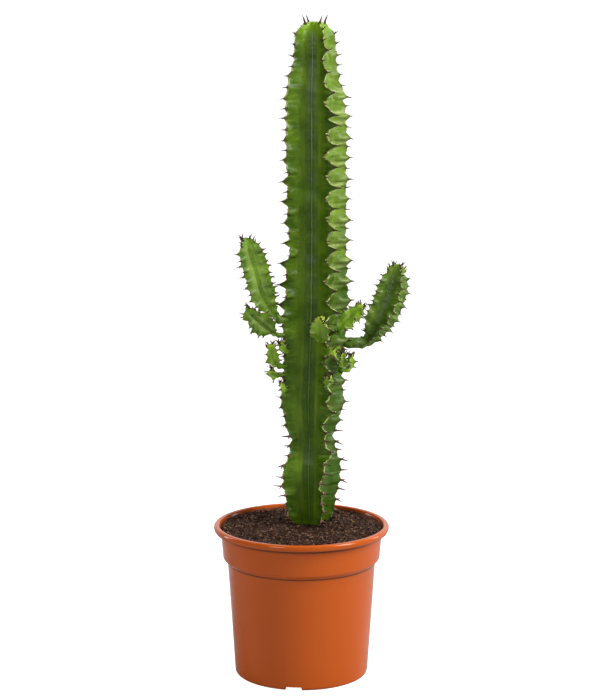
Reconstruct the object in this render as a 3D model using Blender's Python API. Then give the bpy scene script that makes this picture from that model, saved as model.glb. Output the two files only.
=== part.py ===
"""Potted candelabra euphorbia: a four-ribbed succulent stem with two arms and a whorl of young side
shoots, standing in potting soil in a thin-walled orange plastic pot. Metres, +Z up. The origin is on the
pot's axis, on the surface that it stands on, and the front of the plant faces -Y."""

import math
import random

import bmesh
import bpy
from mathutils import Vector
from mathutils.bvhtree import BVHTree
from mathutils.geometry import interpolate_bezier

MM = 0.001
GAP = 0.3 * MM  # between pieces that touch
SEED = 11

# The pot, a turned shell
RIM_R = 95 * MM
RIM_Z = 166 * MM
LIP_DEPTH = 7 * MM
MOUTH_R = 89 * MM
COLLAR_TOP_R = 87.7 * MM
COLLAR_FOOT_R = 85.2 * MM
COLLAR_FOOT_Z = 131 * MM
STEP_Z = 125 * MM
BODY_TOP_R = 80.2 * MM
BASE_R = 72.4 * MM
BASE_ROUND = 4 * MM
WALL = 1.4 * MM
FOOT_IN_R = 60 * MM
RECESS = 4.6 * MM  # height of the recess under the floor
PAD_R = 15 * MM
POT_SIDES = 40
NOTCH_WIDTH = 18 * MM
NOTCH_HEIGHT = 4.2 * MM
NOTCHES = 4
FIRST_NOTCH = -7  # degrees from the front
DRAIN_HOLES = 8
DRAIN_R = 4.5 * MM
DRAIN_RING_R = 42 * MM

# The soil, which fills the pot to just under its rim
SOIL_EDGE_Z = 159.5 * MM
SOIL_CROWN_Z = 163 * MM
SOIL_CROWN_R = 34 * MM

# The trunk: azimuths are in degrees from the front, positive towards +X
RIB_TURNS = {"A": -58, "B": 24, "C": 112, "D": 210}
TRUNK_WAY = ((12, 20, 163.5), (12, 20, 300), (15.5, 20, 400), (15.5, 20, 600), (14.3, 20, 703.6))
ROOT_R = 14 * MM
ROOT_END_Z = 120 * MM
TRUNK_STEPS = 98  # rings between the soil and the top, two for each tooth
TOOTH_DEPTH = 3.1 * MM
TOOTH_SWING = {"A": 6, "B": 7.6, "C": 5, "D": 5}  # mm
TOOTH_JITTER = 0.9 * MM  # of a tooth up or down the rib
SWAP_Z = 608 * MM  # under this height the teeth of rib B swing the other way round
# Reach of the ribs up the trunk, in mm: height, ribs A and D, ribs B and C
GIRTH = (
    (163.5, 23, 21), (168, 28.5, 24.5), (174, 32, 26), (186, 34.5, 28), (196, 36, 31),
    (214, 40, 34.5), (228, 38, 34.5), (240, 32, 30), (256, 28, 25), (270, 34, 31), (290, 38.5, 38),
    (303, 42.5, 37.5),
    (316, 41, 37), (350, 40, 38), (414, 44, 40),
    (440, 41, 39), (470, 37, 38), (512, 39, 37), (572, 39, 38), (612, 39, 37), (630, 39, 34), (644, 36, 28),
    (655, 32, 27), (664, 28, 25), (683, 27.5, 25), (691, 26, 23.4), (696.5, 23.4, 20.4), (700, 20.4, 17),
    (702.4, 16.8, 14), (703.6, 12.6, 11),
)
# Height in mm, then how strongly the teeth of ribs A and D, and of ribs B and C, are swung and cut
WAVES = (
    (163.5, 0.25, 0.3), (245, 0.25, 0.3), (330, 0.25, 0.9), (385, 0.3, 1), (405, 1.3, 1),
    (460, 1.3, 1), (480, 0.9, 1), (560, 0.8, 1), (585, 0.35, 1), (655, 0.3, 0.9), (675, 0.25, 0.45),
    (703.6, 0.25, 0.4),
)
# The slow bend of rib B's margin: height and its sideways way, in mm
BEND = (
    (163.5, 0), (194, 0), (200, -3), (212, -6.5), (225, -4), (236, 3), (242, 8), (256, 6.5), (265, 2),
    (272, -4), (280, 2), (290, 4), (340, 0), (703.6, 0),
)

# Every stem's section: the channel between two ribs, as shares of the ribs' reach
CHANNEL_FLOOR = {3: 0.36, 4: 0.43}
CHANNEL_HALF = {3: 0.17, 4: 0.22}
CHANNEL_LIP = 0.03
SHOULDER = 0.84
MARGIN_HALF = 1.7 * MM

# The spines
SPINE_R = 0.75 * MM
SPINE_LENGTH = 5.5 * MM
HORN_LENGTH = 9 * MM
YOUNG_SPINE = 0.7  # length of a side shoot's spines, as a share of the others'
SPINE_CLEARANCE = 1.4 * MM
LOWEST_SPINE_Z = 169 * MM

# Side stems. Each grows from a short stub on a trunk rib: the rib, the stub's height and its lean round
# the trunk in degrees, the radii of the neck and of the full stem, the turn of its ribs, the pitch, depth
# and swing of its teeth, the share of its length that its rounded end takes, the shares where it begins
# and has ended to grow from neck to full stem, and the way from the stub as (out, round, up) in mm.
SIDE_STEMS = {
    "arm_left": dict(
        rib="A", z=391, lean=0, neck=4.6, reach=17, ribs=3, turn=-75, pitch=8.5, depth=2.2, swing=2.2,
        taper=0.12, grow=(0.02, 0.42),
        way=((4, 0, 3.5), (12, 0, 12), (20, 0, 24), (25.5, 0, 36), (32.5, 0, 59), (39, 0, 78),
             (41, 0, 85))),
    "arm_right": dict(
        rib="C", z=359, lean=0, neck=6.2, reach=20, ribs=4, turn=-80, pitch=8.5, depth=2.4, swing=2.4,
        taper=0.2, grow=(0.1, 0.5),
        way=((8, -2, 0), (16, -3.5, 0.5), (23, -4.5, 5), (27.5, -5, 12.5), (33, -5, 22), (43.5, -5, 41),
             (50.5, -5, 62), (53.5, -5, 77))),
    "shoot_left_lobe": dict(
        rib="A", z=374, lean=0, neck=2.8, reach=16, ribs=3, turn=-85, pitch=8, depth=2.6, swing=2.4,
        taper=0.35, grow=(0.08, 0.55), way=((6, 0, 2.5), (12, 0, 7), (24, 0, 17), (38, 0, 28))),
    "bud_left_upper": dict(
        rib="A", z=356.7, lean=42, neck=2.2, reach=6, ribs=3, turn=-20, pitch=5, depth=1.4, swing=1.2,
        taper=0.5, grow=(0, 0.4), way=((5, 0, 3), (8, 0, 10))),
    "shoot_left_blade": dict(
        rib="A", z=340, lean=0, neck=2.8, reach=9, ribs=3, turn=-85, pitch=7, depth=2, swing=1.8,
        taper=0.4, grow=(0, 0.4), way=((6, 0, 5), (10, 0, 13), (11, 0, 23))),
    "shoot_left_low": dict(
        rib="A", z=331, lean=0, neck=2.8, reach=8.5, ribs=3, turn=-100, pitch=7, depth=1.8, swing=1.6,
        taper=0.5, grow=(0, 0.4), way=((4, 1, 1), (9, 2, 3), (11.5, 2, 5))),
    "bud_left_low": dict(
        rib="A", z=314, lean=35, neck=2, reach=5, ribs=3, turn=-60, pitch=5, depth=1.2, swing=1,
        taper=0.5, grow=(0, 0.4), way=((2, 1, 4), (2.5, 1, 9))),
    "shoot_front": dict(
        rib="B", z=370.5, lean=-45, neck=3.2, reach=13.5, ribs=3, turn=-10, pitch=7, depth=2.4, swing=2.4,
        taper=0.35, grow=(0, 0.4), way=((5, -3.4, 6), (10, -6.5, 14), (12, -8.5, 24))),
    "shoot_front_crown": dict(
        rib="B", z=359, lean=0, neck=3.2, reach=13, ribs=4, turn=30, pitch=6, depth=2.2, swing=2,
        taper=0.6, grow=(0, 0.4), way=((4, 0, 0), (9, -1, 0))),
    "shoot_front_right": dict(
        rib="B", z=378.4, lean=50, neck=3.2, reach=11.5, ribs=3, turn=-85, pitch=7.5, depth=2.4, swing=2.2,
        taper=0.3, grow=(0, 0.4), way=((5, 3, 4), (8.5, 11, 13), (14, 22, 27))),
    "shoot_right_back": dict(
        rib="C", z=386.5, lean=0, neck=2.2, reach=6.5, ribs=3, turn=60, pitch=6, depth=1.6, swing=1.4,
        taper=0.4, grow=(0, 0.4), way=((5, 0, 0), (9, 0, 3), (11, 0, 11))),
    "bud_right_pale": dict(
        rib="C", z=336, lean=-78, neck=2.2, reach=6.5, ribs=3, turn=20, pitch=5, depth=1.4, swing=1.2,
        taper=0.5, grow=(0, 0.4), way=((-3, -5, 3), (-4, -6, 13))),
    "shoot_right_low": dict(
        rib="C", z=329, lean=0, neck=2.6, reach=6, ribs=3, turn=80, pitch=6, depth=1.6, swing=1.4,
        taper=0.4, grow=(0, 0.4), way=((3, 0, 3), (4, 0, 9), (4, 0, 15))),
    "bud_front_low": dict(
        rib="B", z=321, lean=-15, neck=2.4, reach=7, ribs=3, turn=30, pitch=5, depth=1.6, swing=1.4,
        taper=0.5, grow=(0, 0.4), way=((4, 0, 2), (6.5, 0, 6), (8, 0, 11))),
}
STUB_SIDES = 10
STUB_REACH = 2.4 * MM  # of the stub's end beyond the rib's crest
STUB_ROOT = 0.78  # where a stub leaves the rib's plane, as a share of the rib's reach
STUB_FLARE = 1.15
BLUNT_END = 0.6  # least width at the end of a side stem, as a share of its reach

COLOURS = {
    "pot": ((0.62, 0.13, 0.02), 0.28),
    "soil": ((0.035, 0.018, 0.01), 0.95),
    "trunk": ((0.045, 0.13, 0.012), 0.42),
    "arms": ((0.07, 0.19, 0.015), 0.42),
    "shoots": ((0.12, 0.27, 0.03), 0.45),
}


def clear_scene():
    for thing in list(bpy.data.objects):
        bpy.data.objects.remove(thing, do_unlink=True)


def material(name):
    colour, roughness = COLOURS[name]
    made = bpy.data.materials.new(name)
    made.use_nodes = True
    shader = made.node_tree.nodes["Principled BSDF"]
    shader.inputs["Base Color"].default_value = (*colour, 1)
    shader.inputs["Roughness"].default_value = roughness
    shader.inputs["Metallic"].default_value = 0
    return made


def new_object(name, bm, finish=None):
    mesh = bpy.data.meshes.new(name)
    bm.to_mesh(mesh)
    bm.free()
    thing = bpy.data.objects.new(name, mesh)
    bpy.context.scene.collection.objects.link(thing)
    if finish:
        mesh.materials.append(finish)
    return thing


def apply_modifiers(thing):
    graph = bpy.context.evaluated_depsgraph_get()
    mesh = bpy.data.meshes.new_from_object(thing.evaluated_get(graph))
    thing.modifiers.clear()
    thing.data = mesh


def combine(thing, others, operation):
    """One Boolean of this object with several others, which are then removed."""
    helpers = bpy.data.collections.new(thing.name + " helpers")
    bpy.context.scene.collection.children.link(helpers)
    for other in others:
        bpy.context.scene.collection.objects.unlink(other)
        helpers.objects.link(other)
    modifier = thing.modifiers.new(operation, "BOOLEAN")
    modifier.operation = operation
    modifier.operand_type = "COLLECTION"
    modifier.collection = helpers
    modifier.solver = "EXACT"
    bpy.context.view_layer.update()
    apply_modifiers(thing)
    for other in others:
        bpy.data.objects.remove(other, do_unlink=True)
    bpy.data.collections.remove(helpers)


def turned(name, profile, sides, finish):
    """A closed outline of (radius, height) points spun about the Z axis."""
    bm = bmesh.new()
    points = [bm.verts.new((radius, 0, height)) for radius, height in profile]
    for start, end in zip(points, points[1:]):
        bm.edges.new((start, end))
    if min(profile[0][0], profile[-1][0]) > 0:
        bm.edges.new((points[-1], points[0]))
    bmesh.ops.spin(bm, geom=bm.verts[:] + bm.edges[:], axis=(0, 0, 1), cent=(0, 0, 0), angle=math.tau,
                   steps=sides, use_merge=True)
    bmesh.ops.remove_doubles(bm, verts=bm.verts, dist=0.01 * MM)
    bmesh.ops.recalc_face_normals(bm, faces=bm.faces)
    thing = new_object(name, bm, finish)
    thing.data.shade_smooth()
    thing.data.set_sharp_from_angle(angle=math.radians(35))
    return thing


def arc(centre, radius, start, end, count):
    """Points of an arc in a profile, with its angles in degrees from +R towards +Z."""
    angles = [math.radians(start + (end - start) * k / count) for k in range(count + 1)]
    return [(centre[0] + radius * math.cos(a), centre[1] + radius * math.sin(a)) for a in angles]


def body_radius(z):
    """Outer radius of the pot's body below its collar."""
    return BASE_R + (BODY_TOP_R - BASE_R) * (z - BASE_ROUND) / (STEP_Z - BASE_ROUND)


def make_pot():
    round_z = BASE_ROUND
    lip_low = RIM_Z - LIP_DEPTH
    floor_top = RECESS + WALL
    outside = [(0, 0), (PAD_R, 0), (PAD_R + 1 * MM, RECESS), (FOOT_IN_R, RECESS), (FOOT_IN_R + 1 * MM, 0)]
    outside += arc((BASE_R - BASE_ROUND, round_z), BASE_ROUND, -90, 0, 3)
    outside += [(BODY_TOP_R, STEP_Z)]
    outside += arc((COLLAR_FOOT_R - 3 * MM, COLLAR_FOOT_Z), 3 * MM, -60, 0, 2)
    outside += [(COLLAR_TOP_R, lip_low)]
    outside += [(RIM_R - 2 * MM, lip_low - 0.3 * MM)]
    outside += arc((RIM_R - 3 * MM, RIM_Z - 3 * MM), 3 * MM, -30, 90, 4)
    mouth = [(MOUTH_R + 1 * MM, RIM_Z - 1 * MM), (MOUTH_R, RIM_Z - 3 * MM)]
    corner_z = floor_top + 3 * MM
    inside = [(COLLAR_TOP_R - WALL, lip_low - 2 * MM), (COLLAR_FOOT_R - WALL, COLLAR_FOOT_Z),
              (BODY_TOP_R - WALL, STEP_Z - 1 * MM), (body_radius(corner_z) - WALL, corner_z),
              (BASE_R - WALL - 3 * MM, floor_top), (0, floor_top)]
    pot = turned("pot", outside + mouth + inside, POT_SIDES, material("pot"))
    cutters = []
    for k in range(NOTCHES):
        cutters.append(notch_cutter(math.radians(FIRST_NOTCH + 360 * k / NOTCHES)))
    for k in range(DRAIN_HOLES):
        cutters.append(hole_cutter(math.radians(FIRST_NOTCH + 360 * (k + 0.5) / DRAIN_HOLES)))
    combine(pot, cutters, "DIFFERENCE")
    return pot


def facing(azimuth):
    """Unit vector at an azimuth in radians from the front, positive towards +X."""
    return Vector((math.sin(azimuth), -math.cos(azimuth), 0))


def notch_cutter(azimuth):
    """A block that opens the foot ring from the recess out through the wall."""
    start, end = FOOT_IN_R - 5 * MM, BASE_R + 8 * MM
    out, across = facing(azimuth), facing(azimuth + math.pi / 2)
    bm = bmesh.new()
    bmesh.ops.create_cube(bm, size=1)
    for v in bm.verts:
        place = out * (start + (end - start) * (v.co.x + 0.5)) + across * (NOTCH_WIDTH * v.co.y)
        v.co = place + Vector((0, 0, -5 * MM if v.co.z < 0 else NOTCH_HEIGHT))
    bmesh.ops.recalc_face_normals(bm, faces=bm.faces)
    return new_object("notch", bm)


def hole_cutter(azimuth):
    bm = bmesh.new()
    bmesh.ops.create_cone(bm, cap_ends=True, segments=10, radius1=DRAIN_R, radius2=DRAIN_R, depth=20 * MM)
    bmesh.ops.translate(bm, verts=bm.verts, vec=facing(azimuth) * DRAIN_RING_R)
    return new_object("drain hole", bm)


def make_soil():
    """The soil follows the pot's inner wall and rises to the middle. It has a plain hole for the stem."""
    floor_top = RECESS + WALL + GAP
    inner = WALL + GAP
    edge_r = COLLAR_TOP_R - inner - 0.2 * MM
    profile = [(0, floor_top), (BASE_R - inner - 3.2 * MM, floor_top),
               (body_radius(floor_top + 3 * MM) - inner, floor_top + 3 * MM),
               (BODY_TOP_R - inner, STEP_Z - 1 * MM), (COLLAR_FOOT_R - inner, COLLAR_FOOT_Z),
               (edge_r, SOIL_EDGE_Z - 4 * MM), (edge_r - 1 * MM, SOIL_EDGE_Z),
               (60 * MM, SOIL_EDGE_Z + 1 * MM), (SOIL_CROWN_R, SOIL_CROWN_Z), (0, SOIL_CROWN_Z)]
    soil = turned("soil", profile, POT_SIDES, material("soil"))
    bm = bmesh.new()
    top, bottom = SOIL_CROWN_Z + 10 * MM, ROOT_END_Z - GAP
    bmesh.ops.create_cone(bm, cap_ends=True, segments=24, radius1=ROOT_R + GAP, radius2=ROOT_R + GAP,
                          depth=top - bottom)
    foot = TRUNK_WAY[0]
    bmesh.ops.translate(bm, verts=bm.verts, vec=(foot[0] * MM, foot[1] * MM, (top + bottom) / 2))
    combine(soil, [new_object("stem hole", bm)], "DIFFERENCE")
    return soil


def curve_points(way, count):
    """The way as a smooth curve through its points, at even steps of length."""
    dense = []
    for k in range(len(way) - 1):
        before, here, there = way[max(k - 1, 0)], way[k], way[k + 1]
        after = way[min(k + 2, len(way) - 1)]
        span = (there - here).length / 3
        near = here + (there - before).normalized() * span
        far = there - (after - here).normalized() * span
        dense += interpolate_bezier(here, near, far, there, 24)[: 24 if k == len(way) - 2 else 23]
    lengths = [0.0]
    for start, end in zip(dense, dense[1:]):
        lengths.append(lengths[-1] + (end - start).length)
    found, k = [], 0
    for step in range(count):
        target = lengths[-1] * step / (count - 1)
        while k < len(dense) - 2 and lengths[k + 1] < target:
            k += 1
        share = (target - lengths[k]) / max(lengths[k + 1] - lengths[k], 1e-9)
        found.append(dense[k].lerp(dense[k + 1], min(share, 1)))
    return found, lengths[-1]


def frames_along(points, first, front):
    """(point, forward, sideways, along) at each point. The forward direction is carried on untwisted."""
    frames = []
    for k, point in enumerate(points):
        if k == 0:
            along = first.normalized()
        else:
            along = (points[min(k + 1, len(points) - 1)] - points[k - 1]).normalized()
        front = (front - along * front.dot(along)).normalized()
        frames.append((point, front, along.cross(front), along))
    return frames


def star(turns, crests, swings, shoulders):
    """Points round a ribbed stem, as (forward, sideways) pairs: each rib's crest, with its two shoulders
    where the stem is large, then the lip, floor and lip of the channel to the next rib. The second list
    says which of the steps between points run outwards."""
    points, outwards = [], []
    count = len(turns)
    for j, turn in enumerate(turns):
        a = math.radians(turn)
        out, along = Vector((math.cos(a), math.sin(a))), Vector((-math.sin(a), math.cos(a)))
        if shoulders:
            points.append(out * crests[j] * SHOULDER + along * (0.75 * swings[j] - MARGIN_HALF))
        points.append(out * crests[j] + along * swings[j])
        if shoulders:
            points.append(out * crests[j] * SHOULDER + along * (0.75 * swings[j] + MARGIN_HALF))
        following = turns[(j + 1) % count] + (360 if j == count - 1 else 0)
        g = math.radians((turn + following) / 2)
        floor, across = Vector((math.cos(g), math.sin(g))), Vector((-math.sin(g), math.cos(g)))
        reach = (crests[j] + crests[(j + 1) % count]) / 2
        for side in (-1, 0, 1):
            height = CHANNEL_FLOOR[count] + CHANNEL_LIP * abs(side)
            points.append(floor * reach * height + across * reach * CHANNEL_HALF[count] * side)
        outwards += [True, False, False, False, True, True] if shoulders else [False, False, True, True]
    return points, outwards


def skinned(rings, outwards):
    """A closed body over rings of points, its sides split into triangles alike on both faces of a rib."""
    bm = bmesh.new()
    loops = [[bm.verts.new(point) for point in ring] for ring in rings]
    count = len(loops[0])
    for low, high in zip(loops, loops[1:]):
        for k in range(count):
            n = (k + 1) % count
            if outwards[k]:
                bm.faces.new((low[k], low[n], high[k]))
                bm.faces.new((low[n], high[n], high[k]))
            else:
                bm.faces.new((low[k], low[n], high[n]))
                bm.faces.new((low[k], high[n], high[k]))
    for loop in (loops[0], loops[-1]):
        centre = bm.verts.new(sum((v.co for v in loop), Vector()) / count)
        for k in range(count):
            bm.faces.new((loop[k], loop[(k + 1) % count], centre))
    bmesh.ops.recalc_face_normals(bm, faces=bm.faces)
    return bm, loops


def raise_spine(bm, tip_of_rib, direction, length):
    """Pulls a spine out of the crest: the corner is cut to a small face, then its middle is drawn out."""
    place = tip_of_rib.co.copy()
    cut = bmesh.ops.bevel(bm, geom=[tip_of_rib], offset=SPINE_R, segments=1, affect="VERTICES")
    base = max(cut["faces"], key=lambda face: len(face.verts))
    point = bmesh.ops.poke(bm, faces=[base])["verts"][0]
    point.co = place + direction * length


def placed(frame, points, round_r, form):
    """Section points set in a frame, drawn in to a circle where form is under 1."""
    centre, forward, sideways, _ = frame
    ring = []
    for p in points:
        q = (p.normalized() * round_r).lerp(p, form)
        ring.append(centre + forward * q.x + sideways * q.y)
    return ring


def eased(x):
    x = min(max(x, 0), 1)
    return x * x * (3 - 2 * x)


def through(table, z, column):
    """A value read from a table of (height in mm, value, ...) rows."""
    z /= MM
    for low, high in zip(table, table[1:]):
        if z <= high[0]:
            return low[column] + (high[column] - low[column]) * max(z - low[0], 0) / (high[0] - low[0])
    return table[-1][column]


def trunk_axis(z):
    for low, high in zip(TRUNK_WAY, TRUNK_WAY[1:]):
        if z / MM <= high[2]:
            break
    share = max(z / MM - low[2], 0) / (high[2] - low[2])
    return Vector([a + (b - a) * share for a, b in zip(low[:2], high[:2])] + [z / MM]) * MM


def rib_reach(rib, z):
    """Reach of a trunk rib at a height, both in metres."""
    return through(GIRTH, z, 1 if rib in "AD" else 2) * MM


def stub_of(side):
    """(root, seat, direction) of the stub that carries a side stem."""
    z = side["z"] * MM
    turn = math.radians(RIB_TURNS[side["rib"]])
    lean = math.radians(side["lean"])
    out, across = facing(turn), facing(turn + math.pi / 2)
    direction = (out * math.cos(lean) + across * math.sin(lean)).normalized()
    reach = rib_reach(side["rib"], z)
    root = trunk_axis(z) + out * reach * STUB_ROOT
    return root, root + direction * (reach * (1 - STUB_ROOT) + STUB_REACH), direction


def stub(name, side):
    root, seat, direction = stub_of(side)
    start = root - direction * 4 * MM
    bm = bmesh.new()
    radius = side["neck"] * MM
    bmesh.ops.create_cone(bm, cap_ends=True, segments=STUB_SIDES, radius1=radius * STUB_FLARE,
                          radius2=radius, depth=(seat - start).length)
    turn = direction.to_track_quat("Z", "Y").to_matrix()
    for v in bm.verts:
        v.co = (start + seat) / 2 + turn @ v.co
    return new_object(name + " stub", bm)


def trunk_rings(draw):
    """The trunk's rings from its root to its crown, and the corner and directions of each tooth."""
    turns = list(RIB_TURNS.values())
    names = list(RIB_TURNS)
    top = TRUNK_WAY[-1][2] * MM
    foot = TRUNK_WAY[0][2] * MM
    rings, teeth = [], []
    forward, sideways, up = Vector((0, -1, 0)), Vector((1, 0, 0)), Vector((0, 0, 1))
    for i in range(TRUNK_STEPS + 1):
        grown = eased(i / 5) * eased((TRUNK_STEPS - i) / 5)
        z = foot + (top - foot) * i / TRUNK_STEPS + TOOTH_JITTER * math.sin(2.3 * i) * grown
        crests, swings, tips = [], [], []
        for j, rib in enumerate(names):
            is_tip = (i + j) % 2 == 0
            vary = draw.uniform(0.5, 1.5)
            wave = through(WAVES, z, 1 if rib in "AD" else 2) * grown
            fall = 0 if is_tip else TOOTH_DEPTH * vary * (0.45 * grown + 0.55 * wave)
            side = 1 if (i // 2 + j + (rib == "B" and z < SWAP_Z)) % 2 else -1
            crests.append(rib_reach(rib, z) - fall)
            swings.append(through(BEND, z, 1) * MM if rib == "B" else 0)
            if is_tip:
                swings[-1] += side * TOOTH_SWING[rib] * MM * draw.uniform(0.7, 1.1) * wave
            if is_tip or i == TRUNK_STEPS:
                tips.append((j, side))
        points, outwards = star(turns, crests, swings, True)
        frame = (trunk_axis(z), forward, sideways, up)
        if i == 0:
            for depth in (ROOT_END_Z, foot - GAP):
                deep = (frame[0] + Vector((0, 0, depth - z)), forward, sideways, up)
                rings.append(placed(deep, points, ROOT_R, 0))
        ring = placed(frame, points, ROOT_R, eased((i + 1.6) / 2.6))
        rings.append(ring)
        for j, side in tips:
            out = facing(math.radians(turns[j]))
            teeth.append(dict(ring=i + 2, corner=6 * j + 1, out=out, across=up.cross(out), up=up, side=side,
                              high=i / TRUNK_STEPS, last=i == TRUNK_STEPS))
    return rings, outwards, teeth


def side_rings(side, draw):
    """Rings of a side stem, from its neck on the stub to its rounded tip, and its teeth."""
    _, seat, direction = stub_of(side)
    turn = math.radians(RIB_TURNS[side["rib"]])
    out, across, up = facing(turn), facing(turn + math.pi / 2), Vector((0, 0, 1))
    start = seat + direction * GAP
    way = [start, start + direction * 1.5 * MM]
    way += [seat + (out * o + across * r + up * u) * MM for o, r, u in side["way"]]
    _, length = curve_points(way, 8)
    steps = 2 * max(2, round(length / (side["pitch"] * MM)))
    points, length = curve_points(way, steps + 1)
    front = Vector((0, -1, 0))
    if abs(direction.dot(front)) > 0.7:
        front = up
    frames = frames_along(points, direction, front)
    turns = [side["turn"] + 360 * j / side["ribs"] for j in range(side["ribs"])]
    reach, neck = side["reach"] * MM, side["neck"] * MM
    rings, teeth = [], []
    width = 6 if side["ribs"] == 4 and side["reach"] > 15 else 4
    for i, frame in enumerate(frames):
        share = i / steps
        end = max(0, (share - 1 + side["taper"]) / side["taper"])
        begin, whole = side["grow"]
        full = neck * 1.1 + (reach - neck * 1.1) * eased((share - begin) / (whole - begin))
        full *= max(BLUNT_END, math.sqrt(max(0, 1 - (0.93 * end) ** 2)))
        form = eased(share / (0.12 + 0.8 * begin))
        crests, swings, tips = [], [], []
        for j in range(side["ribs"]):
            is_tip = (i + j) % 2 == 0
            fall = 0 if is_tip else side["depth"] * MM * draw.uniform(0.7, 1.3) * form
            swings.append((1 if (i // 2 + j) % 2 else -1) * side["swing"] * MM * form if is_tip else 0)
            crests.append(full - fall * (0.4 if i == steps else 1))
            if is_tip and share > 0.2 or i == steps:
                tips.append(j)
        section, outwards = star(turns, crests, swings, width == 6)
        ring = placed(frame, section, neck, form)
        rings.append(ring)
        for j in tips:
            a = math.radians(turns[j])
            rib_out = frame[1] * math.cos(a) + frame[2] * math.sin(a)
            teeth.append(dict(ring=i, corner=width * j + width // 6, out=rib_out,
                              across=frame[3].cross(rib_out), up=frame[3],
                              side=1 if (i // 2 + j) % 2 else -1, high=share, last=i == steps))
    return rings, outwards, teeth


def spine_line(tooth, length):
    """Direction and length of a tooth's spine: outwards, to its own side, and upwards near the tip."""
    if tooth["last"]:
        direction = tooth["up"] * 1.6 + tooth["out"] * 0.7
    else:
        rise = -0.25 + 1.3 * eased((tooth["high"] - 0.9) / 0.1)
        direction = tooth["out"] + tooth["across"] * 0.6 * tooth["side"] + tooth["up"] * rise
    return direction.normalized(), length


def is_clear(place, direction, length, trees, tips):
    """Whether a spine keeps its distance from the other pieces and from the spines already on them."""
    for k in range(6):
        point = place + direction * length * (0.2 + 0.18 * k)
        if any(tree.find_nearest(point, SPINE_CLEARANCE)[0] is not None for tree in trees):
            return False
        if any((point - other).length < SPINE_CLEARANCE for other in tips):
            return False
    return True


def make_plant():
    """The trunk and its side stems, each with spines raised where they stand clear of the other stems."""
    draw = random.Random(SEED)
    stems = {"trunk": trunk_rings(draw)}
    stems.update({name: side_rings(side, draw) for name, side in SIDE_STEMS.items()})
    skins = {name: skinned(rings, outwards) for name, (rings, outwards, _) in stems.items()}
    stubs = [stub(name, side) for name, side in SIDE_STEMS.items()]
    trees = {name: [BVHTree.FromBMesh(bm)] for name, (bm, _) in skins.items()}
    graph = bpy.context.evaluated_depsgraph_get()
    trees["trunk"] += [BVHTree.FromObject(thing, graph) for thing in stubs]
    finishes = {part: material(part) for part in ("trunk", "arms", "shoots")}
    taken = {name: [] for name in stems}
    for name, (bm, loops) in skins.items():
        others = [tree for other, group in trees.items() if other != name for tree in group]
        others += trees["trunk"][1:] if name == "trunk" else []
        part = "trunk" if name == "trunk" else "arms" if name.startswith("arm") else "shoots"
        for tooth in stems[name][2]:
            corner = loops[tooth["ring"]][tooth["corner"]]
            place = corner.co.copy()
            length = HORN_LENGTH if tooth["last"] and name == "trunk" else SPINE_LENGTH
            direction, length = spine_line(tooth, length * (YOUNG_SPINE if part == "shoots" else 1))
            tips = [point for other, group in taken.items() if other != name for point in group]
            if place.z < LOWEST_SPINE_Z or not is_clear(place, direction, length, others, tips):
                continue
            raise_spine(bm, corner, direction, length)
            taken[name] += [place + direction * length * share for share in (0.3, 0.6, 1)]
        stem = new_object(name, bm, finishes[part])
        if name == "trunk":
            bpy.context.view_layer.update()
            combine(stem, stubs, "UNION")
        stem.data.shade_flat()


def main():
    clear_scene()
    make_pot()
    make_soil()
    make_plant()


main()
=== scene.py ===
"""The look of the potted candelabra euphorbia: a glossy orange nursery pot, peaty soil, and a waxy four-ribbed
stem with wavy horny margins, paired spines, two arms and young side shoots. Metres, +Z up."""

import math
import random

import bpy
import numpy as np
from mathutils import Matrix, Vector, noise
from mathutils.geometry import interpolate_bezier


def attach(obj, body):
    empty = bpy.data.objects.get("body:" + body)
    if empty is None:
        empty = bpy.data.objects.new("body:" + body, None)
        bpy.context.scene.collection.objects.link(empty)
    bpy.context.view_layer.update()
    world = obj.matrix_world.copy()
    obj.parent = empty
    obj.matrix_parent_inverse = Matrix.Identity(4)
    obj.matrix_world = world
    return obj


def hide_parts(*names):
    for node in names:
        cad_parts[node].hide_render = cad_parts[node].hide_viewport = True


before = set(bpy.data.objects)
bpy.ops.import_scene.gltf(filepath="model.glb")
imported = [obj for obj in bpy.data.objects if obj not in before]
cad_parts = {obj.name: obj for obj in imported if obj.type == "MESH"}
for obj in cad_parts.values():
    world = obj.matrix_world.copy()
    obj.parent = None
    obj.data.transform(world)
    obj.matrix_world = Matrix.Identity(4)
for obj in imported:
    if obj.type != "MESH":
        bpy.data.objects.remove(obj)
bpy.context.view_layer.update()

MM = 0.001
SEED = 11  # of the teeth, as the solids have them
DETAIL_SEED = 5  # of the spines, crumbs and fibres

# The pot
RIM_R = 95 * MM
RIM_Z = 166 * MM
LIP_DEPTH = 7 * MM
MOUTH_R = 89 * MM
COLLAR_TOP_R = 87.7 * MM
COLLAR_FOOT_R = 85.2 * MM
COLLAR_FOOT_Z = 131 * MM
STEP_Z = 125 * MM
BODY_TOP_R = 80.2 * MM
BASE_R = 72.4 * MM
BASE_ROUND = 4 * MM
WALL = 1.4 * MM
FOOT_IN_R = 60 * MM
RECESS = 4.6 * MM
PAD_R = 15 * MM
POT_SIDES = 160
NOTCH_WIDTH = 18 * MM
NOTCH_HEIGHT = 4.2 * MM
NOTCHES = 4
FIRST_NOTCH = -7  # degrees from the front
DRAIN_HOLES = 8
DRAIN_R = 4.5 * MM
DRAIN_RING_R = 42 * MM

# The soil
SOIL_EDGE_Z = 159.5 * MM
SOIL_CROWN_Z = 163 * MM
SOIL_CROWN_R = 34 * MM
SOIL_HEAP = 1.7 * MM  # of the loose surface towards the pot's wall
SOIL_SIDES = 176
CRUMBS = 1500
FIBRES = 70

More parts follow.
